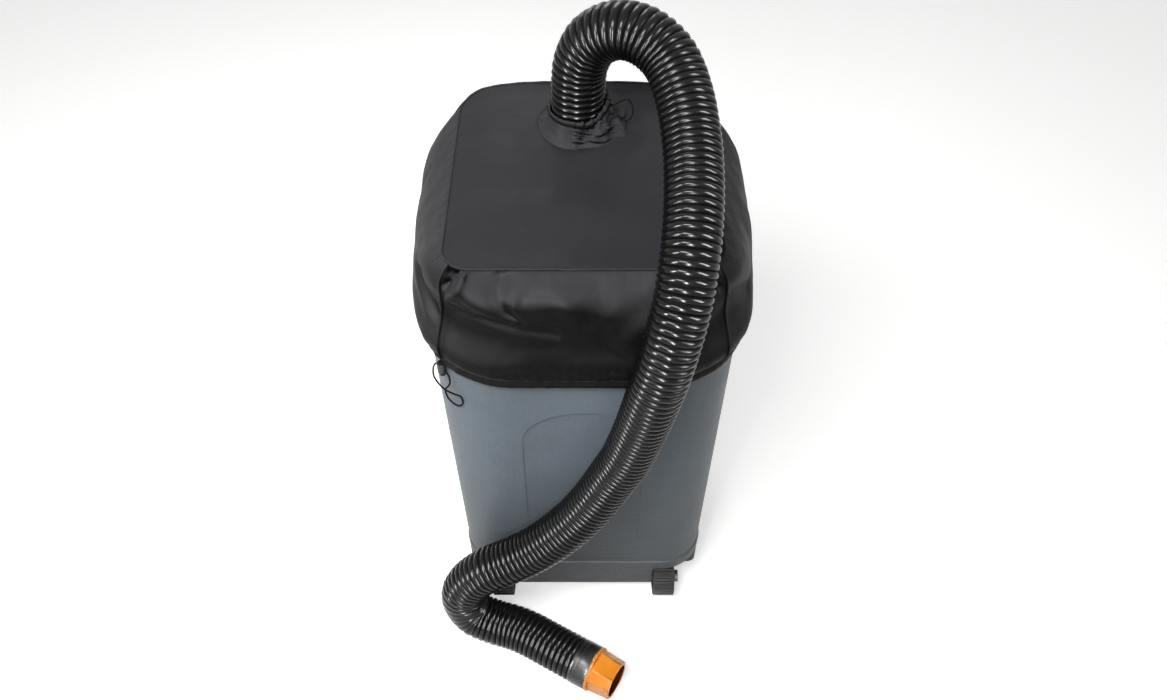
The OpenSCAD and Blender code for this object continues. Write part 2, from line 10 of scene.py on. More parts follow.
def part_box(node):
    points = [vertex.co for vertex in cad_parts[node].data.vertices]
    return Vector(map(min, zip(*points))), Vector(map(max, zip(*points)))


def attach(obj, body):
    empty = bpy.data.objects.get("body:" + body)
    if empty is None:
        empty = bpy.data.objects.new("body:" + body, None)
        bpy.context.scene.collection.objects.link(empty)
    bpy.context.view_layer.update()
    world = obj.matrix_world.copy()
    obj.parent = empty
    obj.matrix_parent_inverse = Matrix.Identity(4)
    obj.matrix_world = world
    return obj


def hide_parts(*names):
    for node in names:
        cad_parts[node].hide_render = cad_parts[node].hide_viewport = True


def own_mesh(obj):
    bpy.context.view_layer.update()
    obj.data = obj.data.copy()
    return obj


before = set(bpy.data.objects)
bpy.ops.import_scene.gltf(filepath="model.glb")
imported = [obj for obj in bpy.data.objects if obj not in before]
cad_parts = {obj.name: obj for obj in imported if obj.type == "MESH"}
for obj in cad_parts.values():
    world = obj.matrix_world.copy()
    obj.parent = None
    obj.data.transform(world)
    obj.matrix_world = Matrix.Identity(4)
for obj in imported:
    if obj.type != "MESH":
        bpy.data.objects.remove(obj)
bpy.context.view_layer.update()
scene = bpy.context.scene
scene.view_settings.view_transform = "Standard"


def linearColour(hexText):  # sRGB hex to the linear colour that a shader takes
    parts = [int(hexText[i:i + 2], 16) / 255 for i in (1, 3, 5)]
    return [c / 12.92 if c <= 0.04045 else ((c + 0.055) / 1.055) ** 2.4 for c in parts] + [1.0]


def addNode(tree, kind, settings, links=None):  # a key is a socket's name or number, or a property's name
    node = tree.nodes.new("ShaderNode" + kind)
    for key, value in settings.items():
        if isinstance(key, int) or key in node.inputs:
            node.inputs[key].default_value = value
        else:
            setattr(node, key, value)
    for key, socket in (links or {}).items():
        tree.links.new(socket, node.inputs[key])
    return node


def newMaterial(name, colour, roughness, sockets):
    material = bpy.data.materials.new(name)
    material.use_nodes = True
    shader = material.node_tree.nodes["Principled BSDF"]
    shader.inputs["Base Color"].default_value = linearColour(colour)
    shader.inputs["Roughness"].default_value = roughness
    for key, value in sockets.items():
        shader.inputs[key].default_value = value
    return material, material.node_tree, shader


def varyFinish(tree, shader, coords, patch, roughness, colours=()):  # soft patches of gloss, and of two colours
    patches = addNode(tree, "TexNoise", {"Scale": 1 / patch, "Detail": 4, "Roughness": 0.6}, {"Vector": coords})
    spread = addNode(tree, "MapRange", {"From Min": 0.3, "From Max": 0.7}, {"Value": patches.outputs["Fac"]})
    share = spread.outputs["Result"]
    gloss = addNode(tree, "MapRange", {"To Min": roughness[0], "To Max": roughness[1]}, {"Value": share})
    tree.links.new(gloss.outputs["Result"], shader.inputs["Roughness"])
    if not colours:
        return None
    dark, pale = map(linearColour, colours)
    tone = addNode(tree, "Mix", {"data_type": "RGBA", 6: dark, 7: pale}, {0: share})
    tree.links.new(tone.outputs[2], shader.inputs["Base Color"])
    return tone.outputs[2]


def bumpFrom(tree, shader, height, depth, strength=1.0):  # depth in metres, chained on any bump before it
    links = {"Height": height}
    if shader.inputs["Normal"].is_linked:
        links["Normal"] = shader.inputs["Normal"].links[0].from_socket
    bump = addNode(tree, "Bump", {"Strength": strength, "Distance": depth}, links)
    tree.links.new(bump.outputs["Normal"], shader.inputs["Normal"])


def smoothStep(low, high, value):
    t = min(max((value - low) / (high - low), 0), 1)
    return t * t * (3 - 2 * t)


def throughPoints(points, steps):  # a smooth run through the points, as in the part's own source
    last = len(points) - 1
    run = []
    for i in range(last):
        a, b, c, d = [Vector(points[min(max(k, 0), last)]) for k in (i - 1, i, i + 1, i + 2)]
        for k in range(steps):
            t = k / steps
            run.append((2 * b + (c - a) * t + (2 * a - 5 * b + 4 * c - d) * t * t
                        + (3 * b - a - 3 * c + d) * t ** 3) / 2)
    return run + [Vector(points[last])]


def alongRun(run, distances):  # points at distances along a run
    points, i, passed = [], 0, 0.0
    for distance in distances:
        while i < len(run) - 2 and passed + (run[i + 1] - run[i]).length < distance:
            passed += (run[i + 1] - run[i]).length
            i += 1
        points.append(run[i].lerp(run[i + 1], (distance - passed) / (run[i + 1] - run[i]).length))
    return points


def runLength(run):
    return sum((b - a).length for a, b in zip(run, run[1:]))


def shadeSmooth(mesh, angle):  # smooth shading with edges sharper than the angle kept
    mesh.shade_smooth()
    mesh.set_sharp_from_angle(angle=math.radians(angle))


def placePiece(piece, material, body, replaced=()):
    piece.data.materials.clear()
    piece.data.materials.append(material)
    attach(piece, body)
    if replaced:
        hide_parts(*replaced)
    return piece


def newPiece(name, bm, material, body, replaced=(), angle=35):
    mesh = bpy.data.meshes.new(name)
    bm.to_mesh(mesh)
    bm.free()
    shadeSmooth(mesh, angle)
    piece = bpy.data.objects.new(name, mesh)
    scene.collection.objects.link(piece)
    return placePiece(piece, material, body, replaced)


def strand(name, run, radius, resolution=3, radii=None, closed=False, capped=True):  # a round cord along a run
    data = bpy.data.curves.new(name, "CURVE")
    data.dimensions = "3D"
    data.bevel_depth = radius
    data.bevel_resolution = resolution
    data.use_fill_caps = capped and not closed
    spline = data.splines.new("POLY")
    spline.points.add(len(run) - 1)
    for i, place in enumerate(run):
        spline.points[i].co = (*place, 1)
        spline.points[i].radius = radii[i] / radius if radii else 1
    spline.use_cyclic_u = closed
    spline.use_smooth = True
    piece = bpy.data.objects.new(name, data)
    scene.collection.objects.link(piece)
    return piece


def meshOf(piece):  # the piece's mesh with its curve or modifiers applied
    return bpy.data.meshes.new_from_object(piece.evaluated_get(bpy.context.evaluated_depsgraph_get()))


def asMesh(piece):  # the same piece with its curve turned to a mesh
    mesh, name = meshOf(piece), piece.name
    bpy.data.objects.remove(piece)
    made = bpy.data.objects.new(name, mesh)
    scene.collection.objects.link(made)
    return made


def carve(piece, cutters):  # joins or cuts a piece by other bmeshes, in order
    for operation, bm in cutters:
        mesh = bpy.data.meshes.new("cutter")
        bm.to_mesh(mesh)
        bm.free()
        cutter = bpy.data.objects.new("cutter", mesh)
        scene.collection.objects.link(cutter)
        boolean = piece.modifiers.new("carve", "BOOLEAN")
        boolean.operation, boolean.object, boolean.solver = operation, cutter, "EXACT"
        cut = meshOf(piece)
        piece.modifiers.clear()
        piece.data = cut
        bpy.data.objects.remove(cutter)
    shadeSmooth(piece.data, 35)


def addModifier(piece, kind, **settings):
    modifier = piece.modifiers.new(kind.lower(), kind)
    for key, value in settings.items():
        setattr(modifier, key, value)
    return modifier


def softenEdges(piece, width, angle=40):  # small moulded radii on the sharp edges
    addModifier(piece, "BEVEL", width=width, segments=2, limit_method="ANGLE",
                angle_limit=math.radians(angle), harden_normals=False)
    addModifier(piece, "WEIGHTED_NORMAL", keep_sharp=False)


def closeShape(bm):  # merges the doubles, then turns every face outwards
    bmesh.ops.remove_doubles(bm, verts=bm.verts[:], dist=1e-6)
    bmesh.ops.recalc_face_normals(bm, faces=bm.faces[:])


def heading(angle):  # the flat direction at an angle from +X
    return Vector((math.cos(angle), math.sin(angle)))


def spinProfile(profile, steps, closed=True):  # an outline of (radius, height) turned about Z
    bm = bmesh.new()
    verts = [bmesh.ops.create_vert(bm, co=(radius, 0, height))["vert"][0] for radius, height in profile]
    for a, b in zip(verts, verts[1:] + (verts[:1] if closed else [])):
        bmesh.ops.contextual_create(bm, geom=[a, b])
    bmesh.ops.spin(bm, geom=bm.verts[:] + bm.edges[:], cent=(0, 0, 0), axis=(0, 0, 1), angle=math.tau,
                   steps=steps, use_merge=True)
    closeShape(bm)
    return bm


def roundedBox(size, middle, radius, segments=3):
    bm = bmesh.new()
    bmesh.ops.create_cube(bm, size=1)
    bmesh.ops.scale(bm, vec=size, verts=bm.verts[:])
    bmesh.ops.bevel(bm, geom=bm.edges[:], offset=radius, offset_type="OFFSET", segments=segments, profile=0.5,
                    affect="EDGES", material=-1)
    bmesh.ops.translate(bm, vec=middle, verts=bm.verts[:])
    return bm


def rod(radius, start, end, sides=32):
    bm = bmesh.new()
    start, end = Vector(start), Vector(end)
    turn = (end - start).to_track_quat("Z", "Y").to_matrix().to_4x4()
    bmesh.ops.create_cone(bm, cap_ends=True, segments=sides, radius1=radius, radius2=radius,
                          depth=(end - start).length, matrix=Matrix.Translation((start + end) / 2) @ turn)
    return bm


studio = {
    "cameraPlace": (0, -1.507, 2.155),
    "cameraPitch": 46.665,  # degrees below the horizon
    "focalPixels": 1000,
    "frameWidth": 1167,  # pixels
    "sensorWidth": 36,  # millimetres
    "lamps": {  # place, what it looks at, width, height, watts, and whether it lights or only gleams
        "keyLamp": ((-1.0, -1.45, 3.1), (0, 0, 0.6), 1.5, 0.8, 92, True),
        "frontLamp": ((-0.55, -2.8, 2.2), (0, 0, 0.5), 0.7, 0.4, 22, True),
        "rimLamp": ((-0.4, 1.9, 2.4), (0, 0, 1.0), 1.0, 1.0, 14, True),
        "rightGleam": ((2.1, -1.2, 1.9), (0.1, -0.3, 0.7), 0.7, 2.2, 150, False),
        "lowGleam": ((-0.35, -3.3, 1.5), (0, -0.3, 0.5), 0.5, 2.4, 230, False),
        "leftGleam": ((-2.6, -1.7, 1.5), (0, -0.3, 0.5), 0.45, 2.2, 170, False),
    },
    "worldStrength": 0.14,
    "paperGlow": 0.55,
    "paperSeen": "#f4f4f2",
    "paperThrown": "#6f675c",  # a grey sheet throws less light back under the hood
    "floorHalf": 14,
}

camera = bpy.data.objects.new("photoCamera", bpy.data.cameras.new("photoCamera"))
camera.data.sensor_width = studio["sensorWidth"]
camera.data.lens = studio["sensorWidth"] * studio["focalPixels"] / studio["frameWidth"]
camera.data.clip_end = 60
camera.location = studio["cameraPlace"]
camera.rotation_euler = (math.radians(90 - studio["cameraPitch"]), 0, 0)
scene.collection.objects.link(camera)
scene.camera = camera

for lampName, (place, target, width, height, watts, lights) in studio["lamps"].items():
    lamp = bpy.data.objects.new(lampName, bpy.data.lights.new(lampName, "AREA"))
    lamp.data.shape = "RECTANGLE"
    lamp.data.size, lamp.data.size_y = width, height
    lamp.data.energy = watts
    lamp.visible_diffuse = lights
    lamp.visible_camera = False
    lamp.location = place
    lamp.rotation_euler = (Vector(target) - Vector(place)).to_track_quat("-Z", "Y").to_euler()
    scene.collection.objects.link(lamp)

world = bpy.data.worlds.new("studioWorld")
world.use_nodes = True
scene.world = world
skyTree = world.node_tree
sky = skyTree.nodes["Background"]


def seenRays(tree):  # 1 for rays from the camera, a gloss or through glass, 0 for the rest
    path = addNode(tree, "LightPath", {})
    both = addNode(tree, "Math", {"operation": "MAXIMUM"},
                   {0: path.outputs["Is Camera Ray"], 1: path.outputs["Is Glossy Ray"]})
    return addNode(tree, "Math", {"operation": "MAXIMUM"},
                   {0: both.outputs["Value"], 1: path.outputs["Is Transmission Ray"]}).outputs["Value"]


bright = addNode(skyTree, "MapRange", {"To Min": studio["worldStrength"], "To Max": 1.0},
                 {"Value": seenRays(skyTree)})
sky.inputs["Color"].default_value = linearColour("#ffffff")
skyTree.links.new(bright.outputs["Result"], sky.inputs["Strength"])

paper, paperTree, paperShader = newMaterial("matt white paper", studio["paperSeen"], 0.95,
                                            {"Specular IOR Level": 0.1})
paperSeen = seenRays(paperTree)
paperTone = addNode(paperTree, "Mix", {"data_type": "RGBA", 6: linearColour(studio["paperThrown"]),
                                       7: linearColour(studio["paperSeen"])}, {0: paperSeen})
paperGlow = addNode(paperTree, "Math", {"operation": "MULTIPLY", 1: studio["paperGlow"]}, {0: paperSeen})
paperTree.links.new(paperTone.outputs[2], paperShader.inputs["Base Color"])
paperShader.inputs["Emission Color"].default_value = linearColour("#ffffff")  # whitens it for the eye only
paperTree.links.new(paperGlow.outputs["Value"], paperShader.inputs["Emission Strength"])
floorShape = bmesh.new()
bmesh.ops.create_grid(floorShape, x_segments=1, y_segments=1, size=studio["floorHalf"])
floorMesh = bpy.data.meshes.new("floor")
floorShape.to_mesh(floorMesh)
floorShape.free()
floorMesh.materials.append(paper)
floor = bpy.data.objects.new("floor", floorMesh)
scene.collection.objects.link(floor)
print("studio ready")


def objectCoords(tree):
    return addNode(tree, "TexCoord", {}).outputs["Object"]


def makeBinPlastic():  # rotomoulded polyethylene: a soft satin skin with orange peel and faint cloudy tone
    material, tree, shader = newMaterial("moulded polyethylene, blue grey", "#6a747d", 0.42, {
        "IOR": 1.5, "Specular IOR Level": 0.14})
    coords = objectCoords(tree)
    clean = varyFinish(tree, shader, coords, 0.16, (0.34, 0.46), ("#6a757e", "#75808a"))
    height = addNode(tree, "SeparateXYZ", {}, {"Vector": coords})
    low = addNode(tree, "MapRange", {"From Min": 0.05, "From Max": 0.5, "To Min": 0.6, "To Max": 0.0},
                  {"Value": height.outputs["Z"]})
    bottomTone = addNode(tree, "Mix", {"data_type": "RGBA", 7: linearColour("#4a463e")},
                    {0: low.outputs["Result"], 6: clean})  # darker and warmer towards the bottom
    tree.links.new(bottomTone.outputs[2], shader.inputs["Base Color"])
    peel = addNode(tree, "TexNoise", {"Scale": 1 / 0.011, "Detail": 2, "Roughness": 0.5, "Distortion": 0.4},
                   {"Vector": coords})  # dimples 5 mm across, drawn at 11 mm so that they show
    bumpFrom(tree, shader, peel.outputs["Fac"], 0.0016, 0.8)
    waves = addNode(tree, "TexNoise", {"Scale": 1 / 0.09, "Detail": 1}, {"Vector": coords})
    bumpFrom(tree, shader, waves.outputs["Fac"], 0.003, 0.35)  # the slow waves of a big moulding
    return material


def finishCloth(name, colours):  # coated woven polyester: dull and dark, with handling creases in a fine weave
    material, tree, shader = newMaterial(name, colours[0], 0.7, {
        "IOR": 1.5, "Specular IOR Level": 0.035})
    coords = addNode(tree, "TexCoord", {})
    varyFinish(tree, shader, coords.outputs["Object"], 0.12, (0.38, 0.50))
    facing = addNode(tree, "SeparateXYZ", {}, {"Vector": coords.outputs["Normal"]})
    upFacingShare = addNode(tree, "MapRange", {"From Min": 0.02, "From Max": 0.6}, {"Value": facing.outputs["Z"]})
    dark, pale = map(linearColour, colours)
    paintedLightTone = addNode(tree, "Mix", {"data_type": "RGBA", 6: dark, 7: pale},
                    {0: upFacingShare.outputs["Result"]})  # painted light and shade: paler where the cloth faces up, darker where it faces down
    tree.links.new(paintedLightTone.outputs[2], shader.inputs["Base Color"])
    threads = 1 / 0.0024  # real threads lie 0.5 mm apart, drawn at 2.4 mm so that the weave shows
    sized = addNode(tree, "Mapping", {"Scale": (threads, threads, threads)}, {"Vector": coords.outputs["UV"]})
    weave = addNode(tree, "TexChecker", {"Scale": 1.0}, {"Vector": sized.outputs["Vector"]})
    bumpFrom(tree, shader, weave.outputs["Fac"], 0.00015, 0.5)
    crumple = addNode(tree, "TexNoise", {"Scale": 1 / 0.035, "Detail": 3, "Roughness": 0.55},
                      {"Vector": coords.outputs["Object"]})
    bumpFrom(tree, shader, crumple.outputs["Fac"], 0.004, 0.35)  # soft creases a few centimetres long
    return material


def makeHosePlastic():  # blow-moulded black polyethylene: a glossy skin, duller and dusty down in the grooves, with painted shade darkening them
    material, tree, shader = newMaterial("blow-moulded polyethylene, black", "#0b0b0c", 0.2, {
        "IOR": 1.5, "Specular IOR Level": 0.42})
    coords = objectCoords(tree)
    groove = addNode(tree, "Attribute", {"attribute_name": "groove"})
    smudge = addNode(tree, "TexNoise", {"Scale": 1 / 0.02, "Detail": 3}, {"Vector": coords})
    sunk = groove.outputs["Fac"]  # 0 on a rib's crest, 1 down in the groove
    dust = addNode(tree, "Math", {"operation": "MULTIPLY"}, {0: sunk, 1: smudge.outputs["Fac"]})
    tone = addNode(tree, "Mix", {"data_type": "RGBA", 6: linearColour("#0b0b0c"), 7: linearColour("#191818")},
                   {0: dust.outputs["Value"]})
    gloss = addNode(tree, "MapRange", {"From Min": 0.3, "From Max": 0.75, "To Min": 0.13, "To Max": 0.2},
                    {"Value": smudge.outputs["Fac"]})
    dull = addNode(tree, "Math", {"operation": "MULTIPLY_ADD", 1: 0.3}, {0: sunk, 2: gloss.outputs["Result"]})
    tree.links.new(tone.outputs[2], shader.inputs["Base Color"])
    tree.links.new(dull.outputs["Value"], shader.inputs["Roughness"])
    grooveShade = addNode(tree, "MapRange", {"From Max": 0.7, "To Min": 0.26, "To Max": 0.02}, {"Value": sunk})
    tree.links.new(grooveShade.outputs["Result"], shader.inputs["Specular IOR Level"])  # painted shade: the grooves reflect less, so they stay dark
    ripple = addNode(tree, "TexNoise", {"Scale": 1 / 0.012, "Detail": 2}, {"Vector": coords})
    bumpFrom(tree, shader, ripple.outputs["Fac"], 0.0006, 0.25)  # the uneven skin of a blown wall
    return material


def makePlain(name, colours, roughness, patch, grain, depth, sockets):  # moulded or drawn stock, sizes in metres
    material, tree, shader = newMaterial(name, colours[0], roughness[0], sockets)
    coords = objectCoords(tree)
    varyFinish(tree, shader, coords, patch, roughness, colours)
    grit = addNode(tree, "TexNoise", {"Scale": 1 / grain, "Detail": 2}, {"Vector": coords})
    bumpFrom(tree, shader, grit.outputs["Fac"], depth, 0.5)
    return material


def makeCordBraid():  # braided polyester: slanting yarns that cross round the cord
    material, tree, shader = newMaterial("braided polyester cord, black", "#121214", 0.62, {
        "Specular IOR Level": 0.05})
    coords = objectCoords(tree)
    varyFinish(tree, shader, coords, 0.01, (0.5, 0.7), ("#070708", "#0f0f10"))
    yarns = addNode(tree, "TexWave", {"Scale": 180, "Distortion": 1.5, "bands_direction": "DIAGONAL"},
                    {"Vector": coords})
    bumpFrom(tree, shader, yarns.outputs["Fac"], 0.0004, 0.6)
    return material


binPlastic = makeBinPlastic()
# in each cloth, the first colour is painted shade on down-facing cloth and the second is painted light on
# up-facing cloth
topCloth = finishCloth("coated polyester cloth, charcoal", ("#1a191b", "#303033"))
sideCloth = finishCloth("coated polyester cloth, black", ("#121112", "#373739"))
hosePlastic = makeHosePlastic()
cuffPlastic = makePlain("moulded polyethylene, black", ("#101012", "#1a1a1c"), (0.24, 0.4),
                        0.03, 0.004, 0.0003, {"IOR": 1.5})  # smooth, with a soft gleam
adapterPlastic = makePlain("moulded ABS, orange", ("#f0912a", "#f69d36"), (0.22, 0.32), 0.05, 0.003, 0.0001, {
    "IOR": 1.53, "Specular IOR Level": 0.2, "Coat Weight": 0.04, "Coat Roughness": 0.12})  # bright and crisp
wheelPlastic = makePlain("moulded polypropylene, black", ("#18191b", "#232426"), (0.45, 0.62),
                         0.02, 0.002, 0.0002, {"IOR": 1.49, "Specular IOR Level": 0.2})  # scuffed and nearly dull
bushPlastic = makePlain("moulded nylon, black", ("#202124", "#2a2b2e"), (0.4, 0.5),
                        0.01, 0.002, 0.0001, {"IOR": 1.53})  # waxy and even
lockPlastic = makePlain("moulded acetal, black", ("#131416", "#1b1c1e"), (0.25, 0.36),
                        0.008, 0.002, 0.0001, {"IOR": 1.48})  # small and slick
axleSteel = makePlain("drawn steel, zinc plated", ("#a4a8ab", "#b7babc"), (0.28, 0.42),
                      0.02, 0.0015, 0.0001, {"Metallic": 1.0})  # pale, slightly cloudy metal
springSteel = makePlain("drawn spring steel", ("#8f9295", "#a0a3a5"), (0.25, 0.35),
                        0.005, 0.001, 0.00005, {"Metallic": 1.0})  # darker, bright along the wire
cordBraid = makeCordBraid()
print("materials ready")


hose = {
    "route": [  # from inside the hood, up through the collar, over and down the front, then along the floor
        (-0.010, 0.110, 0.960), (-0.010, 0.110, 1.030), (-0.010, 0.110, 1.100), (-0.009, 0.110, 1.160),
        (-0.003, 0.108, 1.205), (0.019, 0.100, 1.249), (0.060, 0.082, 1.277), (0.106, 0.058, 1.278),
        (0.147, 0.022, 1.256), (0.170, -0.030, 1.221), (0.181, -0.090, 1.181), (0.184, -0.150, 1.146),
        (0.181, -0.215, 1.110), (0.174, -0.275, 1.065), (0.163, -0.320, 1.005), (0.148, -0.348, 0.940),
        (0.134, -0.360, 0.870), (0.121, -0.357, 0.800), (0.105, -0.346, 0.708), (0.084, -0.337, 0.615),
        (0.057, -0.331, 0.540), (0.025, -0.330, 0.465), (-0.010, -0.331, 0.400), (-0.055, -0.334, 0.340),
        (-0.105, -0.339, 0.290), (-0.160, -0.344, 0.252), (-0.213, -0.347, 0.218), (-0.256, -0.350, 0.168),
        (-0.272, -0.354, 0.114), (-0.250, -0.368, 0.068), (-0.205, -0.383, 0.054), (-0.160, -0.396, 0.052),
        (-0.118, -0.415, 0.052), (-0.066, -0.445, 0.052), (-0.014, -0.475, 0.052)],
    "crestRadius": 0.051,
    "ribDepth": 0.004,
    "ribPitch": 0.013,
    "wall": 0.002,
    "ribShape": ((0, 1), (0.12, 0.62), (0.27, 0.13), (0.5, 0), (0.73, 0.13), (0.88, 0.62)),  # share along, depth
    "elbow": (1.955, 0.075, 0.85),  # where along the hose the bend flattens the ribs, how far, how much
    "pathStep": 6,  # stops of one rib
}


def makeHose():
    run = throughPoints(hose["route"], 8)
    length = runLength(run)
    ribs = int(length / hose["ribPitch"])
    stops = [(length * (i + share) / ribs, depth) for i in range(ribs) for share, depth in hose["ribShape"]]
    stops.append((length, 1))
    middle, reach, flattened = hose["elbow"]
    depths = [depth * (1 - flattened * (1 - smoothStep(0, reach, abs(s - middle)))) for s, depth in stops]
    path = alongRun(run, [s for s, depth in stops])
    radii = [hose["crestRadius"] - hose["ribDepth"] * depth for depth in depths]
    piece = asMesh(strand("hoseTube", path, hose["crestRadius"], 7, radii, False, False))
    groove = piece.data.attributes.new("groove", "FLOAT", "POINT")
    around = len(piece.data.vertices) // len(path)
    for i, value in enumerate(groove.data):
        value.value = depths[min(i // around, len(depths) - 1)]
    shadeSmooth(piece.data, 80)
    addModifier(piece, "SOLIDIFY", thickness=hose["wall"], offset=-1)
    placePiece(piece, hosePlastic, "collector", ["ribbed_hose"])
    print("hose:", ribs, "ribs,", len(piece.data.polygons), "faces,", round(length, 4), "m")
    return piece, path, length


hosePiece, hosePath, hoseLength = makeHose()
hoseEnd = Vector(hose["route"][-1])
hoseHeading = (hoseEnd - Vector(hose["route"][-2])).normalized()


cords = {
    "radius": 0.00175,
    "tailRoute": [  # the loop under the cord lock, from one side of the barrel round to the other
        (-0.265, -0.229, 0.745), (-0.259, -0.235, 0.742), (-0.256, -0.237, 0.732), (-0.256, -0.237, 0.718),
        (-0.260, -0.235, 0.706), (-0.266, -0.231, 0.695), (-0.269, -0.228, 0.684), (-0.265, -0.233, 0.670),
        (-0.255, -0.239, 0.660), (-0.245, -0.243, 0.657), (-0.237, -0.247, 0.664), (-0.234, -0.249, 0.677),
        (-0.238, -0.246, 0.688), (-0.250, -0.246, 0.695), (-0.266, -0.239, 0.699), (-0.280, -0.227, 0.704),
        (-0.289, -0.217, 0.714), (-0.290, -0.209, 0.728), (-0.285, -0.207, 0.739), (-0.278, -0.213, 0.745),
        (-0.275, -0.217, 0.745)],
    "loopRoute": [  # the loop at the collar
        (0.050, 0.112, 1.100), (0.058, 0.115, 1.105), (0.070, 0.121, 1.110), (0.084, 0.127, 1.110),
        (0.092, 0.124, 1.100), (0.093, 0.112, 1.090), (0.087, 0.101, 1.084), (0.078, 0.097, 1.083),
        (0.068, 0.099, 1.088), (0.058, 0.100, 1.094), (0.050, 0.103, 1.097)],
}


def makeLoop(name, route, replaced):
    run = throughPoints(route, 8)
    piece = placePiece(strand(name, run, cords["radius"], 4), cordBraid, "collector", [replaced])


makeLoop("hemCordTail", cords["tailRoute"], "hem_cord_tail")
makeLoop("collarCordLoop", cords["loopRoute"], "collar_cord_loop")


hood = {
    "hemZ": 0.760, "panelZ": 0.782, "panelHalf": (0.31560, 0.29080), "panelCorner": 0.19012,
    "seamZ": 1.028, "topHalf": 0.245, "topCorner": 0.050, "tilt": 0.012, "crown": 0.034,
    "bulge": (0.044, 0.033), "cornerBulge": (0, 0.120),  # sides and front, then back and front corners
    "arcShare": 0.2,  # share of a panel's width that lies on each of its half corners
    "columns": 112, "rows": 56, "topRows": 44,
    "collar": Vector((-0.010, 0.110)), "footRadius": 0.0744,
    "cloth": 0.0012, "panelCut": (0.60, 0.29), "topCut": (0.49, 0.49), "topArea": 0.22,
    "foldSpan": (0.56, 0.27),  # a side panel's width and height that the folds are measured on
    "wrinkle": 0.0028, "pucker": 0.0011,
    "topWelt": 0.0026, "cornerWelt": 0.0022,  # radii of the sewn edges
    "footLift": 0.016,  # how far the collar draws the top panel up
}
corners = ((1, 1), (-1, 1), (-1, -1), (1, -1))  # back right, back left, front left, front right

# soft folds on each panel: from (along, up) to (along, up), half width and depth in metres, out is plus
folds = {
    0: ((0.10, 0.70, 0.90, 0.72, 0.045, 0.003), (0.12, 0.32, 0.88, 0.34, 0.06, -0.006),
        (0.02, 0.95, 0.10, 0.80, 0.014, -0.007), (0.98, 0.96, 0.91, 0.78, 0.014, -0.007)),
    1: ((0.25, 0.58, 0.55, 0.58, 0.07, 0.005), (0.86, 0.46, 0.97, 0.44, 0.06, -0.006),
        (0.88, 0.66, 0.975, 0.40, 0.012, -0.007), (0.84, 0.62, 0.95, 0.36, 0.014, 0.005),
        (0.02, 0.95, 0.11, 0.79, 0.015, -0.007)),
    2: ((0.17, 0.80, 0.44, 0.80, 0.038, 0.021), (0.44, 0.80, 0.60, 0.79, 0.045, 0.008),
        (0.10, 0.36, 0.60, 0.36, 0.075, -0.016), (0.72, 0.34, 0.92, 0.36, 0.06, -0.008),
        (0.02, 0.95, 0.11, 0.965, 0.011, -0.017), (0.02, 0.83, 0.06, 0.94, 0.010, -0.017),
        (0.045, 0.77, 0.19, 0.975, 0.007, 0.013),
        (0.05, 0.60, 0.16, 0.62, 0.012, -0.005), (0.29, 0.97, 0.21, 0.72, 0.011, -0.009),
        (0.36, 0.96, 0.26, 0.78, 0.008, 0.004), (0.12, 0.60, 0.34, 0.52, 0.014, -0.004),
        (0.40, 0.70, 0.62, 0.60, 0.016, -0.003), (0.86, 0.97, 0.98, 0.80, 0.015, -0.014)),
    3: ((0.45, 0.58, 0.75, 0.58, 0.07, 0.003), (0.03, 0.46, 0.14, 0.46, 0.06, -0.008),
        (0.03, 0.62, 0.12, 0.40, 0.012, -0.006), (0.90, 0.80, 0.98, 0.95, 0.015, -0.007)),
}


def outlinePoint(side, along, halfX, halfY, radii):  # along a rounded square's side; back and front radius
    share = hood["arcShare"]

    def onCorner(quarter, turn):
        signX, signY = corners[quarter % 4]
        angle = math.radians(90 * (quarter % 4) + turn)
        radius = radii[quarter % 4 // 2]
        return Vector((signX * (halfX - radius), signY * (halfY - radius))) + radius * heading(angle)

    if along < share:
        return onCorner(side, 45 + 45 * along / share)
    if along > 1 - share:
        return onCorner(side + 1, 45 * (along - 1 + share) / share)
    return onCorner(side, 90).lerp(onCorner(side + 1, 0), (along - share) / (1 - 2 * share))


def crownHeight(x, y):  # the top panel's height
    half = hood["topHalf"]
    return (hood["seamZ"] + hood["tilt"] * y / half
            + hood["crown"] * (1 - (x / half) ** 4) * (1 - ((1 - y / half) / 2) ** 2))


def seamPoint(side, along):
    flat = outlinePoint(side, along, hood["topHalf"], hood["topHalf"], (hood["topCorner"], hood["topCorner"]))
    return Vector((flat.x, flat.y, crownHeight(flat.x, flat.y)))


def sidePoint(side, along, up):  # along from seam to seam, up from the hem to the top seam
    swell = 4 * up * (1 - up)
    halfX, halfY = [low + (hood["topHalf"] - low) * up + bulge * swell
                    for low, bulge in zip(hood["panelHalf"], hood["bulge"])]
    radii = [hood["panelCorner"] + (hood["topCorner"] - hood["panelCorner"]) * up + bulge * swell ** 2
             for bulge in hood["cornerBulge"]]
    flat = outlinePoint(side, along, halfX, halfY, radii)
    return Vector((flat.x, flat.y, hood["panelZ"] + (seamPoint(side, along).z - hood["panelZ"]) * up))


def foldDepth(side, along, up):
    width, height = hood["foldSpan"]
    here = Vector((along * width, up * height))
    depth = 0.0
    for fromAlong, fromUp, toAlong, toUp, reach, size in folds[side]:
        start, end = Vector((fromAlong * width, fromUp * height)), Vector((toAlong * width, toUp * height))
        t = (here - start).dot(end - start) / (end - start).length_squared
        off = (here - start - (end - start) * min(max(t, 0), 1)).length / reach
        depth += size * math.exp(-off * off)
    place = sidePoint(side, along, up)
    depth += hood["wrinkle"] * noise.noise(place * 11) + 0.5 * hood["wrinkle"] * noise.noise(place * 26)
    ripple = math.sin(along * 150 + 5 * noise.noise(place * 8))
    depth += hood["pucker"] * ripple * (math.exp(-up / 0.09) + 0.8 * math.exp(-(1 - up) / 0.05))
    edge = smoothStep(0, 0.012, min(along, 1 - along)) * smoothStep(0, 0.018, 1 - up)
    return depth * edge * (0.25 + 0.75 * smoothStep(0, 0.1, up))


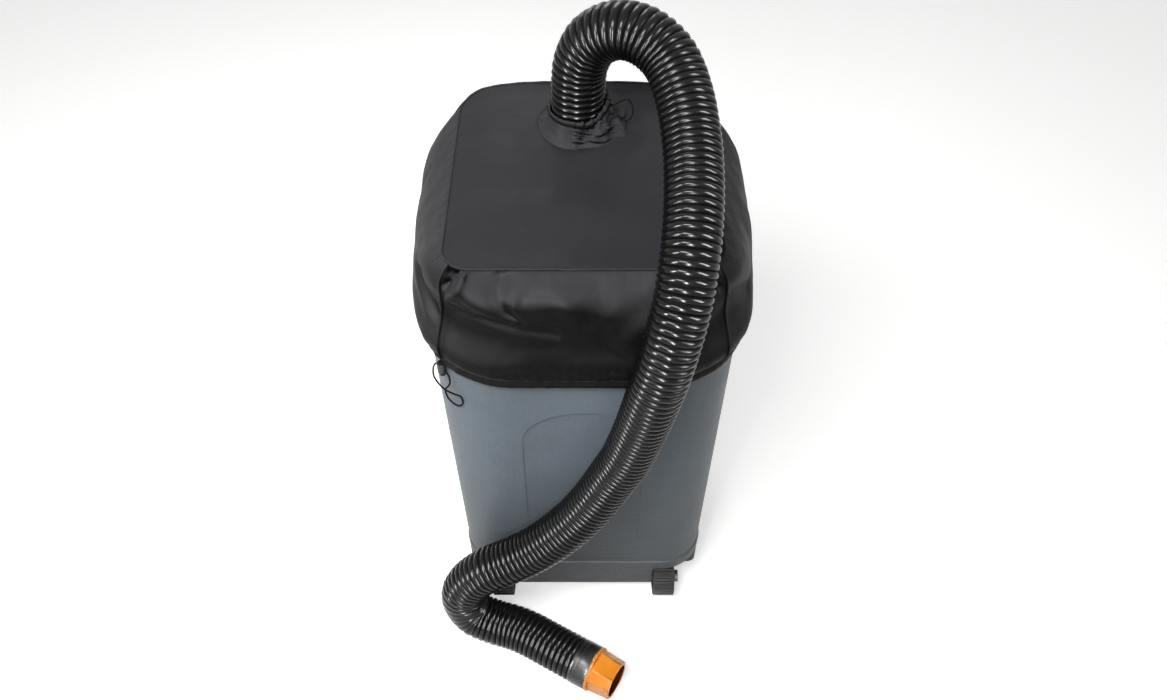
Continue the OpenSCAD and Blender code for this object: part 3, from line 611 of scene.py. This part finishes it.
def sheetGrid(columns, rows, size, placeAt, outside, depthAt=None):  # a cloth grid in place, pushed by its folds
    bm = bmesh.new()
    bmesh.ops.create_grid(bm, x_segments=columns, y_segments=rows, size=0.5)
    cut = bm.loops.layers.uv.new("UVMap")  # the cut cloth in metres, for the weave
    spots = [(vert.co.x + 0.5, vert.co.y + 0.5) for vert in bm.verts]
    for face in bm.faces:
        for loop in face.loops:
            loop[cut].uv = ((loop.vert.co.x + 0.5) * size[0], (loop.vert.co.y + 0.5) * size[1])
    for vert, spot in zip(bm.verts, spots):
        vert.co = placeAt(*spot)
    bm.normal_update()
    middle = bm.verts[:][len(bm.verts) // 2]
    if middle.normal.dot(middle.co - Vector(outside)) < 0:
        bmesh.ops.reverse_faces(bm, faces=bm.faces[:])
        bm.normal_update()
    if depthAt:
        moved = [vert.co + vert.normal * depthAt(*spot) for vert, spot in zip(bm.verts, spots)]
        for vert, place in zip(bm.verts, moved):
            vert.co = place
    return bm


def newCloth(name, bm, material, node, angle=70):  # a sheet, its thickness laid inside its shape
    piece = newPiece(name, bm, material, "collector", [node], angle)
    addModifier(piece, "SOLIDIFY", thickness=hood["cloth"], offset=-1)
    return piece


def makeSidePanel(side, name, node):
    bm = sheetGrid(hood["columns"], hood["rows"], hood["panelCut"], lambda u, v: sidePoint(side, u, v),
                   (0, 0, 0.9), lambda u, v: foldDepth(side, u, v))
    piece = newCloth(name, bm, sideCloth, node, 60)
    return piece


topFolds = (  # soft waves in the top panel: middle, half sizes and depth
    (0.0, -0.185, 0.30, 0.045, -0.008), (-0.12, -0.10, 0.16, 0.05, 0.003), (0.06, -0.05, 0.2, 0.035, -0.003),
    (-0.15, 0.05, 0.06, 0.12, 0.002), (0.13, 0.13, 0.07, 0.09, -0.003), (-0.02, 0.215, 0.2, 0.02, -0.002))


def topPoint(turn, out):  # turn round the hood, out from the collar's foot to the seam
    side = int(turn * 4) % 4
    seam = seamPoint(side, turn * 4 - int(turn * 4) if turn < 1 else 0)
    away = (seam.xy - hood["collar"]).normalized()
    foot = hood["collar"] + away * (hood["footRadius"] - 0.006)
    flat = foot.lerp(seam.xy, out)
    return Vector((flat.x, flat.y, crownHeight(flat.x, flat.y)))


def topDepth(turn, out):
    place = topPoint(turn, out)
    depth = sum(size * math.exp(-((place.x - x) / wide) ** 2 - ((place.y - y) / deep) ** 2)
                for x, y, wide, deep, size in topFolds)
    depth += hood["wrinkle"] * (0.6 * noise.noise(place * 9) + 0.3 * noise.noise(place * 24))
    fromCollar = place.xy - hood["collar"]
    rightward = smoothStep(-0.3, 0.9, fromCollar.normalized().x)
    lift = hood["footLift"] * smoothStep(0.135, 0.07, fromCollar.length) * (0.35 + 0.65 * rightward)
    depth += hood["pucker"] * math.sin(turn * 620 + 4 * noise.noise(place * 8)) * math.exp(-(1 - out) / 0.05)
    return (depth + lift) * smoothStep(0, 0.09, 1 - out) * smoothStep(-0.05, 0.08, out)


def makeTopPanel():
    bm = sheetGrid(4 * hood["columns"], hood["topRows"], hood["topCut"], topPoint, (0, 0, 0.5), topDepth)
    bmesh.ops.remove_doubles(bm, verts=bm.verts[:], dist=1e-6)
    cut = bm.loops.layers.uv.verify()
    for face in bm.faces:
        for loop in face.loops:
            loop[cut].uv = loop.vert.co.xy  # the weave runs straight across the panel
    piece = newCloth("hoodTop", bm, topCloth, "hood_top_panel", 60)
    return piece


def makeSeams():  # the turned edges sewn together: a low welt round the top and down each corner
    pieces = []
    top = [seamPoint(side, k / 60) for side in range(4) for k in range(60)]
    for k, place in enumerate(top):
        place.z += 0.0012 * math.sin(k * 0.9) * noise.noise(place * 20)
    pieces.append(strand("hoodTopSeam", top, hood["topWelt"], 2, None, True))
    for side in range(4):
        run = [sidePoint(side, 0, k / 40) for k in range(41)]
        pieces.append(strand("hoodCornerSeam" + str(side), run, hood["cornerWelt"], 2))
    for piece in pieces:
        placePiece(piece, sideCloth, "collector")


panels = [makeSidePanel(side, name, node) for side, (name, node) in enumerate((
    ("hoodBack", "hood_back_panel"), ("hoodLeft", "hood_left_panel"),
    ("hoodFront", "hood_front_panel"), ("hoodRight", "hood_right_panel")))]
topPanel = makeTopPanel()
makeSeams()
print("hood:", sum(len(panel.data.polygons) for panel in panels + [topPanel]), "faces")


hem = {
    "half": (0.31035, 0.28555), "corner": 0.18487, "height": 0.022, "thick": 0.0105, "cut": (2.03, 0.066),
    "lockTurn": 40, "gapTurn": 1.5,  # degrees round the front left corner, and half the gap at the cord lock
    "columns": 460, "around": 16,
    "stitchStep": 0.006, "stitchZ": 0.0175, "stitchOut": 0.0042, "stitchHalf": (0.002, 0.0006, 0.0007),
    "cordRows": 240, "cordSpread": 0.006,
}


def hemStation(t):  # place and outward angle, t from the casing's one end at the cord lock round to the other
    arcs = [(2, hem["lockTurn"] + hem["gapTurn"], 90), (3, 0, 90), (4, 0, 90), (5, 0, 90),
            (6, 0, hem["lockTurn"] - hem["gapTurn"])]
    spans = []
    straights = [2 * (half - hem["corner"]) for half in hem["half"]]  # along X, then along Y
    for i, (quarter, start, end) in enumerate(arcs):
        spans.append((math.radians(end - start) * hem["corner"], quarter, start, end))
        if i < len(arcs) - 1:
            spans.append((straights[quarter % 2], quarter, 90, 90))
    left = t * sum(span[0] for span in spans)
    for length, quarter, start, end in spans:
        if left <= length or (quarter, end) == (6, arcs[-1][2]):
            share = min(left / length, 1)
            angle = math.radians(90 * quarter + start + (end - start) * share)
            signX, signY = corners[quarter % 4]
            middle = 0.5 * Vector((signX * straights[0], signY * straights[1]))
            place = middle + hem["corner"] * heading(angle)
            if start == end:
                place += length * share * Vector((-math.sin(angle), math.cos(angle)))
            return place, angle
        left -= length


def casingPoint(t, lap):  # a folded tube of cloth, flattened on the wall side and plumper over the cord
    place, angle = hemStation(t)
    turn = math.tau * lap
    gather = 0.0007 * math.sin(t * 260 + 3 * math.sin(t * 57)) + 0.0003 * math.sin(t * 730)
    out = 0.5 * hem["thick"] * math.copysign(abs(math.cos(turn)) ** 0.6, math.cos(turn))
    up = 0.5 * hem["height"] * math.copysign(abs(math.sin(turn)) ** 0.6, math.sin(turn))
    pinch = 1 - 0.35 * math.exp(-((up - 0.0065) / 0.0022) ** 2)  # drawn in along the row of stitches
    out = out * pinch + (gather if out > 0 else 0)
    mouth = 0.55 + 0.45 * smoothStep(0, 0.006, min(t, 1 - t))  # narrower at the two ends
    flat = place + out * mouth * heading(angle)
    middleZ = hood["hemZ"] + 0.5 * hem["height"]
    return Vector((flat.x, flat.y, middleZ + up * (0.9 + 0.1 * mouth) + 0.6 * gather))


def makeHem():
    bm = sheetGrid(hem["columns"], hem["around"], hem["cut"], casingPoint, (0, 0, 0.77))
    closeShape(bm)
    piece = newCloth("hemCasing", bm, sideCloth, "hem_casing")
    stitches = bmesh.new()
    count = int(hem["cut"][0] / hem["stitchStep"])
    for i in range(2, count - 2):
        place, angle = hemStation(i / count)
        ahead = Vector((-math.sin(angle), math.cos(angle), 0))
        out = heading(angle).to_3d()
        turn = Matrix((ahead, out, (0, 0, 1))).transposed().to_4x4()
        spot = Vector((place.x, place.y, hood["hemZ"] + hem["stitchZ"])) + out * hem["stitchOut"]
        shape = Matrix.Translation(spot) @ turn @ Matrix.Diagonal((*hem["stitchHalf"], 1))
        bmesh.ops.create_uvsphere(stitches, u_segments=5, v_segments=4, radius=1, matrix=shape)
    thread = newPiece("hemStitches", stitches, cordBraid, "collector")


makeHem()


def makeHemCord():  # the drawcord in the hem, down out of the casing's two ends into the cord lock
    lowZ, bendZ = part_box("hem_drawcord")[0].z, hood["hemZ"] + 0.0035
    spread = math.degrees(math.asin(hem["cordSpread"] / hem["corner"]))
    ends = []
    for turn in (-spread, spread):
        angle = math.radians(180 + hem["lockTurn"] + turn)
        middle = Vector(hem["half"]) - Vector((hem["corner"], hem["corner"]))
        ends.append(hem["corner"] * heading(angle) - middle)
    run = [Vector((*ends[1], lowZ)), Vector((*ends[1], bendZ))]
    rows, middleZ = hem["cordRows"], hood["hemZ"] + 0.5 * hem["height"]
    run += [Vector((*hemStation(i / rows)[0], middleZ)) for i in range(rows + 1)]
    run += [Vector((*ends[0], bendZ)), Vector((*ends[0], lowZ))]
    cord = strand("hemDrawcord", run, cords["radius"], 3)
    placePiece(cord, cordBraid, "collector", ["hem_drawcord"])


makeHemCord()


collar = {
    "lowZ": 1.09281, "casingHeight": 0.014, "inner": 0.0514, "outer": 0.0594,
    "rightRise": 0.018,  # how much higher the collar sits on the hose's right side
    "gathers": 9, "gatherDepth": 0.0022, "columns": 260, "rows": 30, "casingRows": 12, "cordRows": 96,
    "sleeveCut": (0.47, 0.06), "casingCut": (0.40, 0.036),
    "flapTurn": 222, "flapFoot": (200, 0.008), "rightFoot": (342, 0.038),  # degrees round the hose, metres out
    "longCrease": 0.0055, "shortCrease": 0.0045, "ruffle": 0.0014, "ruffleRise": 0.0012,
}


def neckZ(angle):  # the foot of the collar's casing round the hose
    return collar["lowZ"] + collar["rightRise"] * smoothStep(0.1, 1.0, math.cos(angle - 0.25))


def gathered(angle):  # how strongly the cloth is gathered: smooth over the flap at front left
    flap = math.cos(angle - math.radians(collar["flapTurn"]))
    return 1 - 0.95 * smoothStep(0.55, 0.85, flap)


def sleevePoint(turn, up):
    angle = math.tau * turn
    ahead = heading(angle)
    (flapTurn, flapOut), (rightTurn, rightOut) = collar["flapFoot"], collar["rightFoot"]
    foot = hood["footRadius"] + flapOut * smoothStep(0.2, 1, math.cos(angle - math.radians(flapTurn)))
    foot += rightOut * smoothStep(0.45, 1, math.cos(angle - math.radians(rightTurn)))  # a fold runs out here
    radius = foot + (collar["inner"] + 0.004 - foot) * up ** 0.7
    loose = gathered(angle)
    swirl = angle * collar["gathers"] + 4.5 * (1 - up) + 1.6 * noise.noise((3 * ahead.x, 3 * ahead.y, 0.3))
    fold = collar["gatherDepth"] * loose * math.cos(swirl) * (0.2 + 0.8 * 4 * up * (1 - up))
    slant = 2.2 * angle + 7.5 * up  # creases that run round the hose and down to the right
    long = noise.noise((2.2 * ahead.x, 2.2 * ahead.y, slant)) * smoothStep(0, 0.3, up)
    short = noise.noise((6 * ahead.x, 6 * ahead.y, 2.2 * slant)) * smoothStep(0.1, 0.5, up)
    fold += loose * (collar["longCrease"] * long + collar["shortCrease"] * short)
    flat = hood["collar"] + (radius + fold) * ahead
    ground = hood["collar"] + foot * ahead
    footZ = crownHeight(ground.x, ground.y) + 0.0005
    return Vector((flat.x, flat.y, footZ + (neckZ(angle) + 0.004 - footZ) * up + 0.5 * fold))


def frillPoint(turn, lap):  # a soft ruffled tube round the hose, with the cord inside
    angle, around = math.tau * turn, math.tau * lap
    loose = gathered(angle)
    ruffle = loose * (math.cos(angle * 23 + 2 * math.sin(angle * 3)) + 0.6 * math.cos(angle * 41 + 1))
    half = 0.5 * (collar["outer"] - collar["inner"]) * (0.6 + 0.4 * loose)
    out = half * math.cos(around) + (collar["ruffle"] * ruffle if math.cos(around) > -0.2 else 0)
    up = 0.5 * collar["casingHeight"] * math.sin(around) * (1 + 0.2 * ruffle)
    radius = collar["inner"] + half + out
    place = hood["collar"] + radius * heading(angle)
    middleZ = neckZ(angle) + 0.5 * collar["casingHeight"]
    return Vector((place.x, place.y, middleZ + up + collar["ruffleRise"] * ruffle))


def makeCollar():
    bm = sheetGrid(collar["columns"], collar["rows"], collar["sleeveCut"], sleevePoint, (*hood["collar"], 1.0))
    bmesh.ops.remove_doubles(bm, verts=bm.verts[:], dist=1e-6)
    sleeve = newCloth("collarSleeve", bm, sideCloth, "collar_sleeve")
    bm = sheetGrid(collar["columns"], collar["casingRows"], collar["casingCut"], frillPoint,
                   (*hood["collar"], 1.1))
    closeShape(bm)
    frill = newCloth("collarCasing", bm, sideCloth, "collar_casing")
    middle = 0.5 * (collar["inner"] + collar["outer"])
    run = []
    for k in range(collar["cordRows"]):
        angle = math.tau * k / collar["cordRows"]
        place = hood["collar"] + middle * heading(angle)
        run.append(Vector((place.x, place.y, neckZ(angle) + 0.5 * collar["casingHeight"])))
    cord = strand("collarDrawcord", run, cords["radius"], 3, None, True)
    placePiece(cord, cordBraid, "collector", ["collar_drawcord"])


makeCollar()
print("collar and hem ready")


tub = {
    "topHalf": (0.305, 0.280), "baseHalf": (0.267, 0.267), "topCorner": 0.180, "baseCorner": 0.080,
    "height": 0.810, "wall": 0.005, "edge": 0.018,
    "ground": 0.022, "rimLip": 0.010, "rimHeight": 0.022, "bandZ": 0.128, "bandStep": 0.003,
    "cornerSegments": 14,
    "archWidth": 0.245, "archTop": 0.675, "archHead": 0.090, "archDepth": 0.0025,
    "innerArchIn": 0.042, "innerArchOut": 0.0011,
    "wellX": 0.1617, "wellY": -0.205, "wellZ": 0.098, "axleY": -0.258, "axleZ": 0.045, "bushRadius": 0.009,
    "wellSkin": 0.0015, "wellReach": 0.12, "tunnel": 0.014,  # the axle's tunnel, past the axle
    "footSize": (0.080, 0.046), "footMiddle": (0.147, 0.221), "edgeRadius": 0.0012,
}


def tubAt(z):  # the bin's half widths and corner radius at a height, without the base band
    rimZ = tub["height"] - tub["rimHeight"]
    up = min((z - tub["ground"]) / (rimZ - tub["ground"]), 1)
    half = Vector(tub["baseHalf"]).lerp(Vector(tub["topHalf"]), up)
    return half, tub["baseCorner"] + (tub["topCorner"] - tub["baseCorner"]) * up


def tubProfile():  # rings of (height, how far inside the wall line), up the outside, over the rim, down inside
    topZ, bandZ, ground, edge = tub["height"], tub["bandZ"], tub["ground"], tub["edge"]
    step, wall, lip, rimZ = tub["bandStep"], tub["wall"], tub["rimLip"], tub["height"] - tub["rimHeight"]
    rings = [(ground + edge * (1 - math.cos(math.radians(a))), edge * (1 - math.sin(math.radians(a))) - step)
             for a in range(0, 91, 15)]
    rings += [(bandZ - 0.0045, -step), (bandZ - 0.0030, -0.92 * step), (bandZ - 0.0015, -0.5 * step),
              (bandZ, -0.08 * step), (bandZ + 0.0015, 0)]
    rings += [(rimZ - 0.002, 0), (rimZ, -0.002), (rimZ, -lip + 0.003), (rimZ + 0.003, -lip)]
    rings += [(topZ - 0.005, -lip), (topZ - 0.0015, -lip + 0.0015), (topZ, -lip + 0.005)]
    rings += [(topZ, wall - 0.003), (topZ - 0.003, wall), (ground + wall + edge, wall),
              (ground + wall + 0.3 * edge, wall + 0.3 * edge), (ground + wall, edge + wall)]
    return rings


def archOutline():  # (across, height) of the arched wall panel, from its lower right corner round
    half, head, footZ = 0.5 * tub["archWidth"], tub["archHead"], tub["bandZ"] + 0.005
    turns = [math.pi * k / 32 for k in range(33)]
    bow = [(half * math.cos(turn), tub["archTop"] - head + head * math.sin(turn)) for turn in turns]
    return [(half, footZ)] + bow + [(-half, footZ)]


def cutArch(bm, facing):  # sinks the arched panel into the wall that faces -Y or +Y
    faced = [face for face in bm.faces if face.normal.y * facing > 0.9]
    outer = [face for face in faced if face.calc_center_median().y * facing > 0]
    wall = max(outer, key=lambda face: face.calc_area())
    border = wall.edges[:]
    bmesh.ops.delete(bm, geom=[wall], context="FACES_ONLY")
    places = [(x, facing * tubAt(z)[0].y, z) for x, z in archOutline()]
    verts = [bmesh.ops.create_vert(bm, co=place)["vert"][0] for place in places]
    pairs = zip(verts, verts[1:] + verts[:1])
    edges = [bmesh.ops.contextual_create(bm, geom=pair)["edges"][0] for pair in pairs]
    bmesh.ops.triangle_fill(bm, use_beauty=True, edges=border + edges)
    panel = bmesh.ops.contextual_create(bm, geom=edges)["faces"][0]
    bmesh.ops.recalc_face_normals(bm, faces=bm.faces[:])
    for thickness, depth in ((0.001, -0.0004), (0.003, 0.0004 - tub["archDepth"]), (tub["innerArchIn"], 0),
                             (0.004, tub["innerArchOut"])):
        bmesh.ops.inset_region(bm, faces=[panel], thickness=thickness, depth=depth, use_even_offset=True)


def loftTub(profile):  # a closed solid over rings of (height, how far inside the wall line)
    bm = bmesh.new()
    bmesh.ops.create_grid(bm, x_segments=1, y_segments=1, size=1)
    bmesh.ops.bevel(bm, geom=bm.verts[:], offset=0.5, offset_type="OFFSET", segments=tub["cornerSegments"],
                    profile=0.5, affect="VERTICES", material=-1)
    face = bm.faces[:][0]
    spots = []  # each vertex of a ring: its corner's signs and its direction round that corner
    for loop in face.loops:
        signs = Vector((math.copysign(1, loop.vert.co.x), math.copysign(1, loop.vert.co.y)))
        spots.append((signs, (loop.vert.co.xy - 0.5 * signs).normalized()))

    def shapeRing(z, inset):
        half, corner = tubAt(z)
        for loop, (signs, direction) in zip(face.loops, spots):
            flat = (half - Vector((corner, corner))) * signs + (corner - inset) * direction
            loop.vert.co = (flat.x, flat.y, z)

    shapeRing(*profile[0])
    bmesh.ops.duplicate(bm, geom=[face])  # stays as the underside
    for z, inset in profile[1:]:
        face = bmesh.ops.extrude_discrete_faces(bm, faces=[face])["faces"][0]
        shapeRing(z, inset)
    closeShape(bm)
    return bm


def block(low, high):
    size = Vector(high) - Vector(low)
    bm = bmesh.new()
    bmesh.ops.create_cube(bm, size=1)
    bmesh.ops.scale(bm, vec=size, verts=bm.verts[:])
    bmesh.ops.translate(bm, vec=Vector(low) + 0.5 * size, verts=bm.verts[:])
    return bm


def makeTub():
    bm = loftTub(tubProfile())
    for facing in (-1, 1):
        cutArch(bm, facing)
    piece = newPiece("binTub", bm, binPlastic, "collector", ["bin_tub"])

    wall, ground, skin = tub["wall"], tub["ground"], tub["wellSkin"]
    far = 0.4  # past every side
    wellIn, wellTop = tub["wellX"] - wall, tub["wellZ"] + wall
    tunnelBack, tunnelTop = tub["axleY"] + tub["tunnel"], tub["axleZ"] + tub["tunnel"]
    inside = bpy.data.objects.new("wells", bpy.data.meshes.new("wells"))  # walls of the wells and of the tunnel
    solid = loftTub([(ground + 0.004, 0.014), (ground + tub["edge"], skin), (wellTop, skin)])
    solid.to_mesh(inside.data)
    solid.free()
    scene.collection.objects.link(inside)
    carve(inside, [("DIFFERENCE", block((-far, tub["wellY"] + wall, 0), (far, far, far))),
                   ("DIFFERENCE", block((-wellIn, -far, tunnelTop), (wellIn, far, far))),
                   ("DIFFERENCE", block((-wellIn, tunnelBack, 0), (wellIn, far, far)))])
    walls = bmesh.new()
    walls.from_mesh(inside.data)
    bpy.data.objects.remove(inside)
    cutters = [("UNION", walls)]
    footX, footY = tub["footMiddle"]
    for side in (-1, 1):
        foot = roundedBox((*tub["footSize"], ground + wall), (side * footX, footY, 0.5 * (ground + wall)), 0.003)
        cutters.append(("UNION", foot))
    reach, half = tub["wellReach"], 0.5 * tub["wellReach"]
    for side in (-1, 1):
        middle = (side * (tub["wellX"] + half), tub["wellY"] - half, tub["wellZ"] - half)
        ends = [(side * (tub["wellX"] + past), tub["axleY"], tub["axleZ"]) for past in (-0.02, 0.02)]
        cutters += [("DIFFERENCE", roundedBox((reach, reach, reach), middle, 0.008)),
                    ("DIFFERENCE", rod(tub["bushRadius"], *ends))]
    carve(piece, cutters)
    softenEdges(piece, tub["edgeRadius"])
    return piece


tubPiece = makeTub()
print("bin:", len(tubPiece.data.polygons), "faces")


wheel = {
    "middle": (0.189, -0.258, 0.045), "radius": 0.045, "width": 0.050, "ridges": 36, "ridgeHeight": 0.002,
    "hub": 0.014, "bore": 0.00605, "rim": 0.034, "dish": 0.015, "soft": 0.0015,
}


def makeWheel(side, node):
    half, base = 0.5 * wheel["width"], wheel["radius"] - wheel["ridgeHeight"]
    hub, rim, soft, floorZ = wheel["hub"], wheel["rim"], wheel["soft"], 0.5 * wheel["width"] - wheel["dish"]
    face = [(wheel["bore"], half), (hub - soft, half), (hub, half - soft), (hub, floorZ + soft),
            (hub + soft, floorZ), (rim - soft, floorZ), (rim, floorZ + soft), (rim, half - soft),
            (rim + soft, half), (base - 0.0025, half), (base - 0.0006, half - 0.0008), (base, half - 0.0028)]
    profile = face + [(base, 0.3 * half), (base, -0.3 * half)] + [(r, -z) for r, z in reversed(face)]
    bm = spinProfile(profile, 4 * wheel["ridges"])
    for vert in bm.verts:  # ridges across the tread: four steps each, two up and two down
        radius = vert.co.xy.length
        if radius > base - 0.001:
            step = round(math.atan2(vert.co.y, vert.co.x) / math.tau * 4 * wheel["ridges"]) % 4
            if step < 2:
                vert.co.xy *= (radius + wheel["ridgeHeight"]) / radius
    x, y, z = wheel["middle"]
    place = Matrix.Translation((side * x, y, z)) @ Matrix.Rotation(math.pi / 2, 4, "Y")
    bmesh.ops.transform(bm, matrix=place, verts=bm.verts[:])
    bmesh.ops.recalc_face_normals(bm, faces=bm.faces[:])
    newPiece(node + "Piece", bm, wheelPlastic, node, [node], 30)


makeWheel(-1, "wheel_left")
makeWheel(1, "wheel_right")


def dressNode(name, material, width):  # a CAD part kept as it is, with softened edges and its finish
    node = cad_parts[name]
    for slot in node.material_slots:
        slot.material = material
    addModifier(node, "WELD", merge_threshold=1e-5)
    softenEdges(node, width)


for nodeName, material, width in (
        ("axle_rod", axleSteel, 0.0006),
        ("axle_bush_left", bushPlastic, 0.0004), ("axle_bush_right", bushPlastic, 0.0004),
        ("axle_cap_left", bushPlastic, 0.0012), ("axle_cap_right", bushPlastic, 0.0012),
        ("cord_lock_button", lockPlastic, 0.0004), ("hose_upper_cuff", cuffPlastic, 0.001)):
    dressNode(nodeName, material, width)
print("wheels ready")


lock = {
    "place": (-0.269996, -0.222990), "low": 0.735, "height": 0.024, "radius": 0.009, "bore": 0.0053,
    "roof": 0.0025, "crossZ": 0.745, "cross": 0.00235, "crossHalf": 0.012, "turn": 40,
    "flute": 0.0006, "sides": 48,
    "springLow": 0.7478, "springHigh": 0.7562, "springRadius": 0.00435, "wire": 0.00035, "springGap": 0.0004,
    "turns": 4, "turnSteps": 24, "pressed": 0.42,
}


def makeLock():
    r, h, low = lock["radius"], lock["height"], lock["low"]
    bm = spinProfile([(0, h), (r - 0.0016, h), (r - 0.0005, h - 0.0005), (r, h - 0.0016), (r, h - 0.004),
                      (r, 0.004), (r, 0.0016), (r - 0.0005, 0.0005), (r - 0.0016, 0), (lock["bore"], 0),
                      (lock["bore"], h - lock["roof"]), (0, h - lock["roof"])], lock["sides"], False)
    for vert in bm.verts:  # grip flutes down the middle of the barrel
        radius = vert.co.xy.length
        if radius > r - 0.0003 and 0.003 < vert.co.z < h - 0.003:
            if round(math.atan2(vert.co.y, vert.co.x) / math.tau * lock["sides"]) % 4 == 0:
                vert.co.xy *= (radius - lock["flute"]) / radius
    bmesh.ops.translate(bm, vec=(*lock["place"], low), verts=bm.verts[:])
    barrel = newPiece("cordLockBarrel", bm, lockPlastic, "collector", ["cord_lock_barrel"])
    turn = math.radians(lock["turn"])
    across = Vector((-math.sin(turn), math.cos(turn), 0)) * lock["crossHalf"]
    middle = Vector((*lock["place"], lock["crossZ"]))
    carve(barrel, [("DIFFERENCE", rod(lock["cross"], middle - across, middle + across, 24))])
    coil = []
    steps = lock["turns"] * lock["turnSteps"]
    firstZ, lastZ = lock["springLow"] + lock["springGap"], lock["springHigh"] - lock["springGap"]
    for k in range(steps + 1):
        flat = Vector(lock["place"]) + lock["springRadius"] * heading(math.tau * k / lock["turnSteps"])
        coil.append(Vector((flat.x, flat.y, firstZ + (lastZ - firstZ) * k / steps)))
    spring = asMesh(strand("cordLockSpring", coil, lock["wire"], 2))
    placePiece(spring, springSteel, "collector", ["cord_lock_spring"])
    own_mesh(spring)


makeLock()
print("cord lock ready")


adapter = {
    "cuffLength": 0.042, "cuffRadius": 0.0505, "hoseBore": 0.043, "gap": 0.0003,
    "flangeRadius": 0.051, "flange": 0.007, "bodyRadius": 0.0481, "facetHalf": 28, "bodyTaper": 0.93,
    "socket": 0.037, "socketLength": 0.051, "throat": 0.035, "spigot": 0.04295, "spigotLength": 0.030,
    "lugHeight": 0.005, "lugWidth": 0.018, "fin": 0.003, "finLength": 0.006,
    "soft": 0.0016, "facetRadius": 0.0035, "edgeRadius": 0.0008,
}
endTurn = Matrix.Rotation(math.atan2(hoseHeading.y, hoseHeading.x), 4, "Z")
atHoseEnd = Matrix.Translation(hoseEnd) @ endTurn @ Matrix.Rotation(math.pi / 2, 4, "Y")


def makeCuff():
    r, length, bore = adapter["cuffRadius"], adapter["cuffLength"], adapter["hoseBore"]
    low = r - 0.0012  # down in the two grooves
    bm = spinProfile([(bore, 0), (r - 0.003, 0), (r - 0.001, 0.0012), (r, 0.003), (r, 0.0075), (low, 0.0085),
                      (low, 0.0105), (r, 0.0115), (r, 0.016), (low, 0.017), (low, 0.019),
                      (r, 0.020), (r - 0.0004, length - 0.002), (low, length), (bore, length)], 72)
    bmesh.ops.transform(bm, matrix=atHoseEnd, verts=bm.verts[:])
    return newPiece("hoseLowerCuff", bm, cuffPlastic, "collector", ["hose_lower_cuff"])


def makeAdapter():
    flange, top, bodyRadius = adapter["flange"], adapter["flange"] + adapter["socketLength"], adapter["bodyRadius"]
    taper, soft, spigotZ = adapter["bodyTaper"], adapter["soft"], -adapter["spigotLength"]
    bm = bmesh.new()
    bmesh.ops.create_circle(bm, cap_ends=True, segments=8, radius=bodyRadius)
    for k, vert in enumerate(bm.verts):
        angle = math.radians(90 * (k // 2) + adapter["facetHalf"] * (1 if k % 2 else -1))
        vert.co = (bodyRadius * math.cos(angle), bodyRadius * math.sin(angle), 0.5 * flange)
    face = bm.faces[:][0]
    for z, share in ((flange, 1), (top - 0.002, taper + 0.003), (top, taper - 0.012)):
        raised = bmesh.ops.extrude_face_region(bm, geom=[face])["geom"]
        face = [part for part in raised if isinstance(part, bmesh.types.BMFace)][0]
        for vert in face.verts:
            around = math.atan2(vert.co.y, vert.co.x)
            vert.co = (bodyRadius * share * math.cos(around), bodyRadius * share * math.sin(around), z)
    bmesh.ops.recalc_face_normals(bm, faces=bm.faces[:])
    upright = [edge for edge in bm.edges if abs(edge.verts[0].co.z - edge.verts[1].co.z) > 0.001]
    bmesh.ops.bevel(bm, geom=upright, offset=adapter["facetRadius"], offset_type="OFFSET", segments=4, profile=0.5,
                    affect="EDGES", material=-1)
    piece = newPiece("hoseAdapter", bm, adapterPlastic, "hose_adapter", ["hose_adapter"])
    r = adapter["flangeRadius"]
    disc = spinProfile([(0, 0), (r - soft, 0), (r - 0.3 * soft, 0.3 * soft), (r, soft), (r, flange - soft),
                        (r - 0.3 * soft, flange - 0.3 * soft), (r - soft, flange), (0, flange)], 96, False)
    root = 0.006  # how deep the lug sits in the flange
    lug = roundedBox((adapter["lugHeight"] + root, adapter["lugWidth"], flange),
                     (-r - 0.5 * adapter["lugHeight"] + 0.5 * root, 0, 0.5 * flange), soft)
    spigot = rod(adapter["spigot"], (0, 0, spigotZ), (0, 0, 0.5 * flange), 64)
    bore = rod(adapter["socket"], (0, 0, flange), (0, 0, top + 0.01), 96)
    throat = rod(adapter["throat"], (0, 0, spigotZ - 0.01), (0, 0, flange + 0.001), 96)
    cutters = [("UNION", disc), ("UNION", lug), ("UNION", spigot), ("DIFFERENCE", bore), ("DIFFERENCE", throat)]
    fin, finSpan, finLength = adapter["fin"], 2 * adapter["throat"] + 0.003, adapter["finLength"]
    for size in ((finSpan, fin, finLength), (fin, finSpan, finLength)):
        cutters.append(("UNION", roundedBox(size, (0, 0, spigotZ + 0.5 * finLength), 0.0005)))
    carve(piece, cutters)
    piece.data.transform(atHoseEnd @ Matrix.Translation((0, 0, adapter["cuffLength"] + adapter["gap"])))
    softenEdges(piece, adapter["edgeRadius"])
    return piece


cuffPiece = makeCuff()
adapterPiece = makeAdapter()
print("adapter ready")
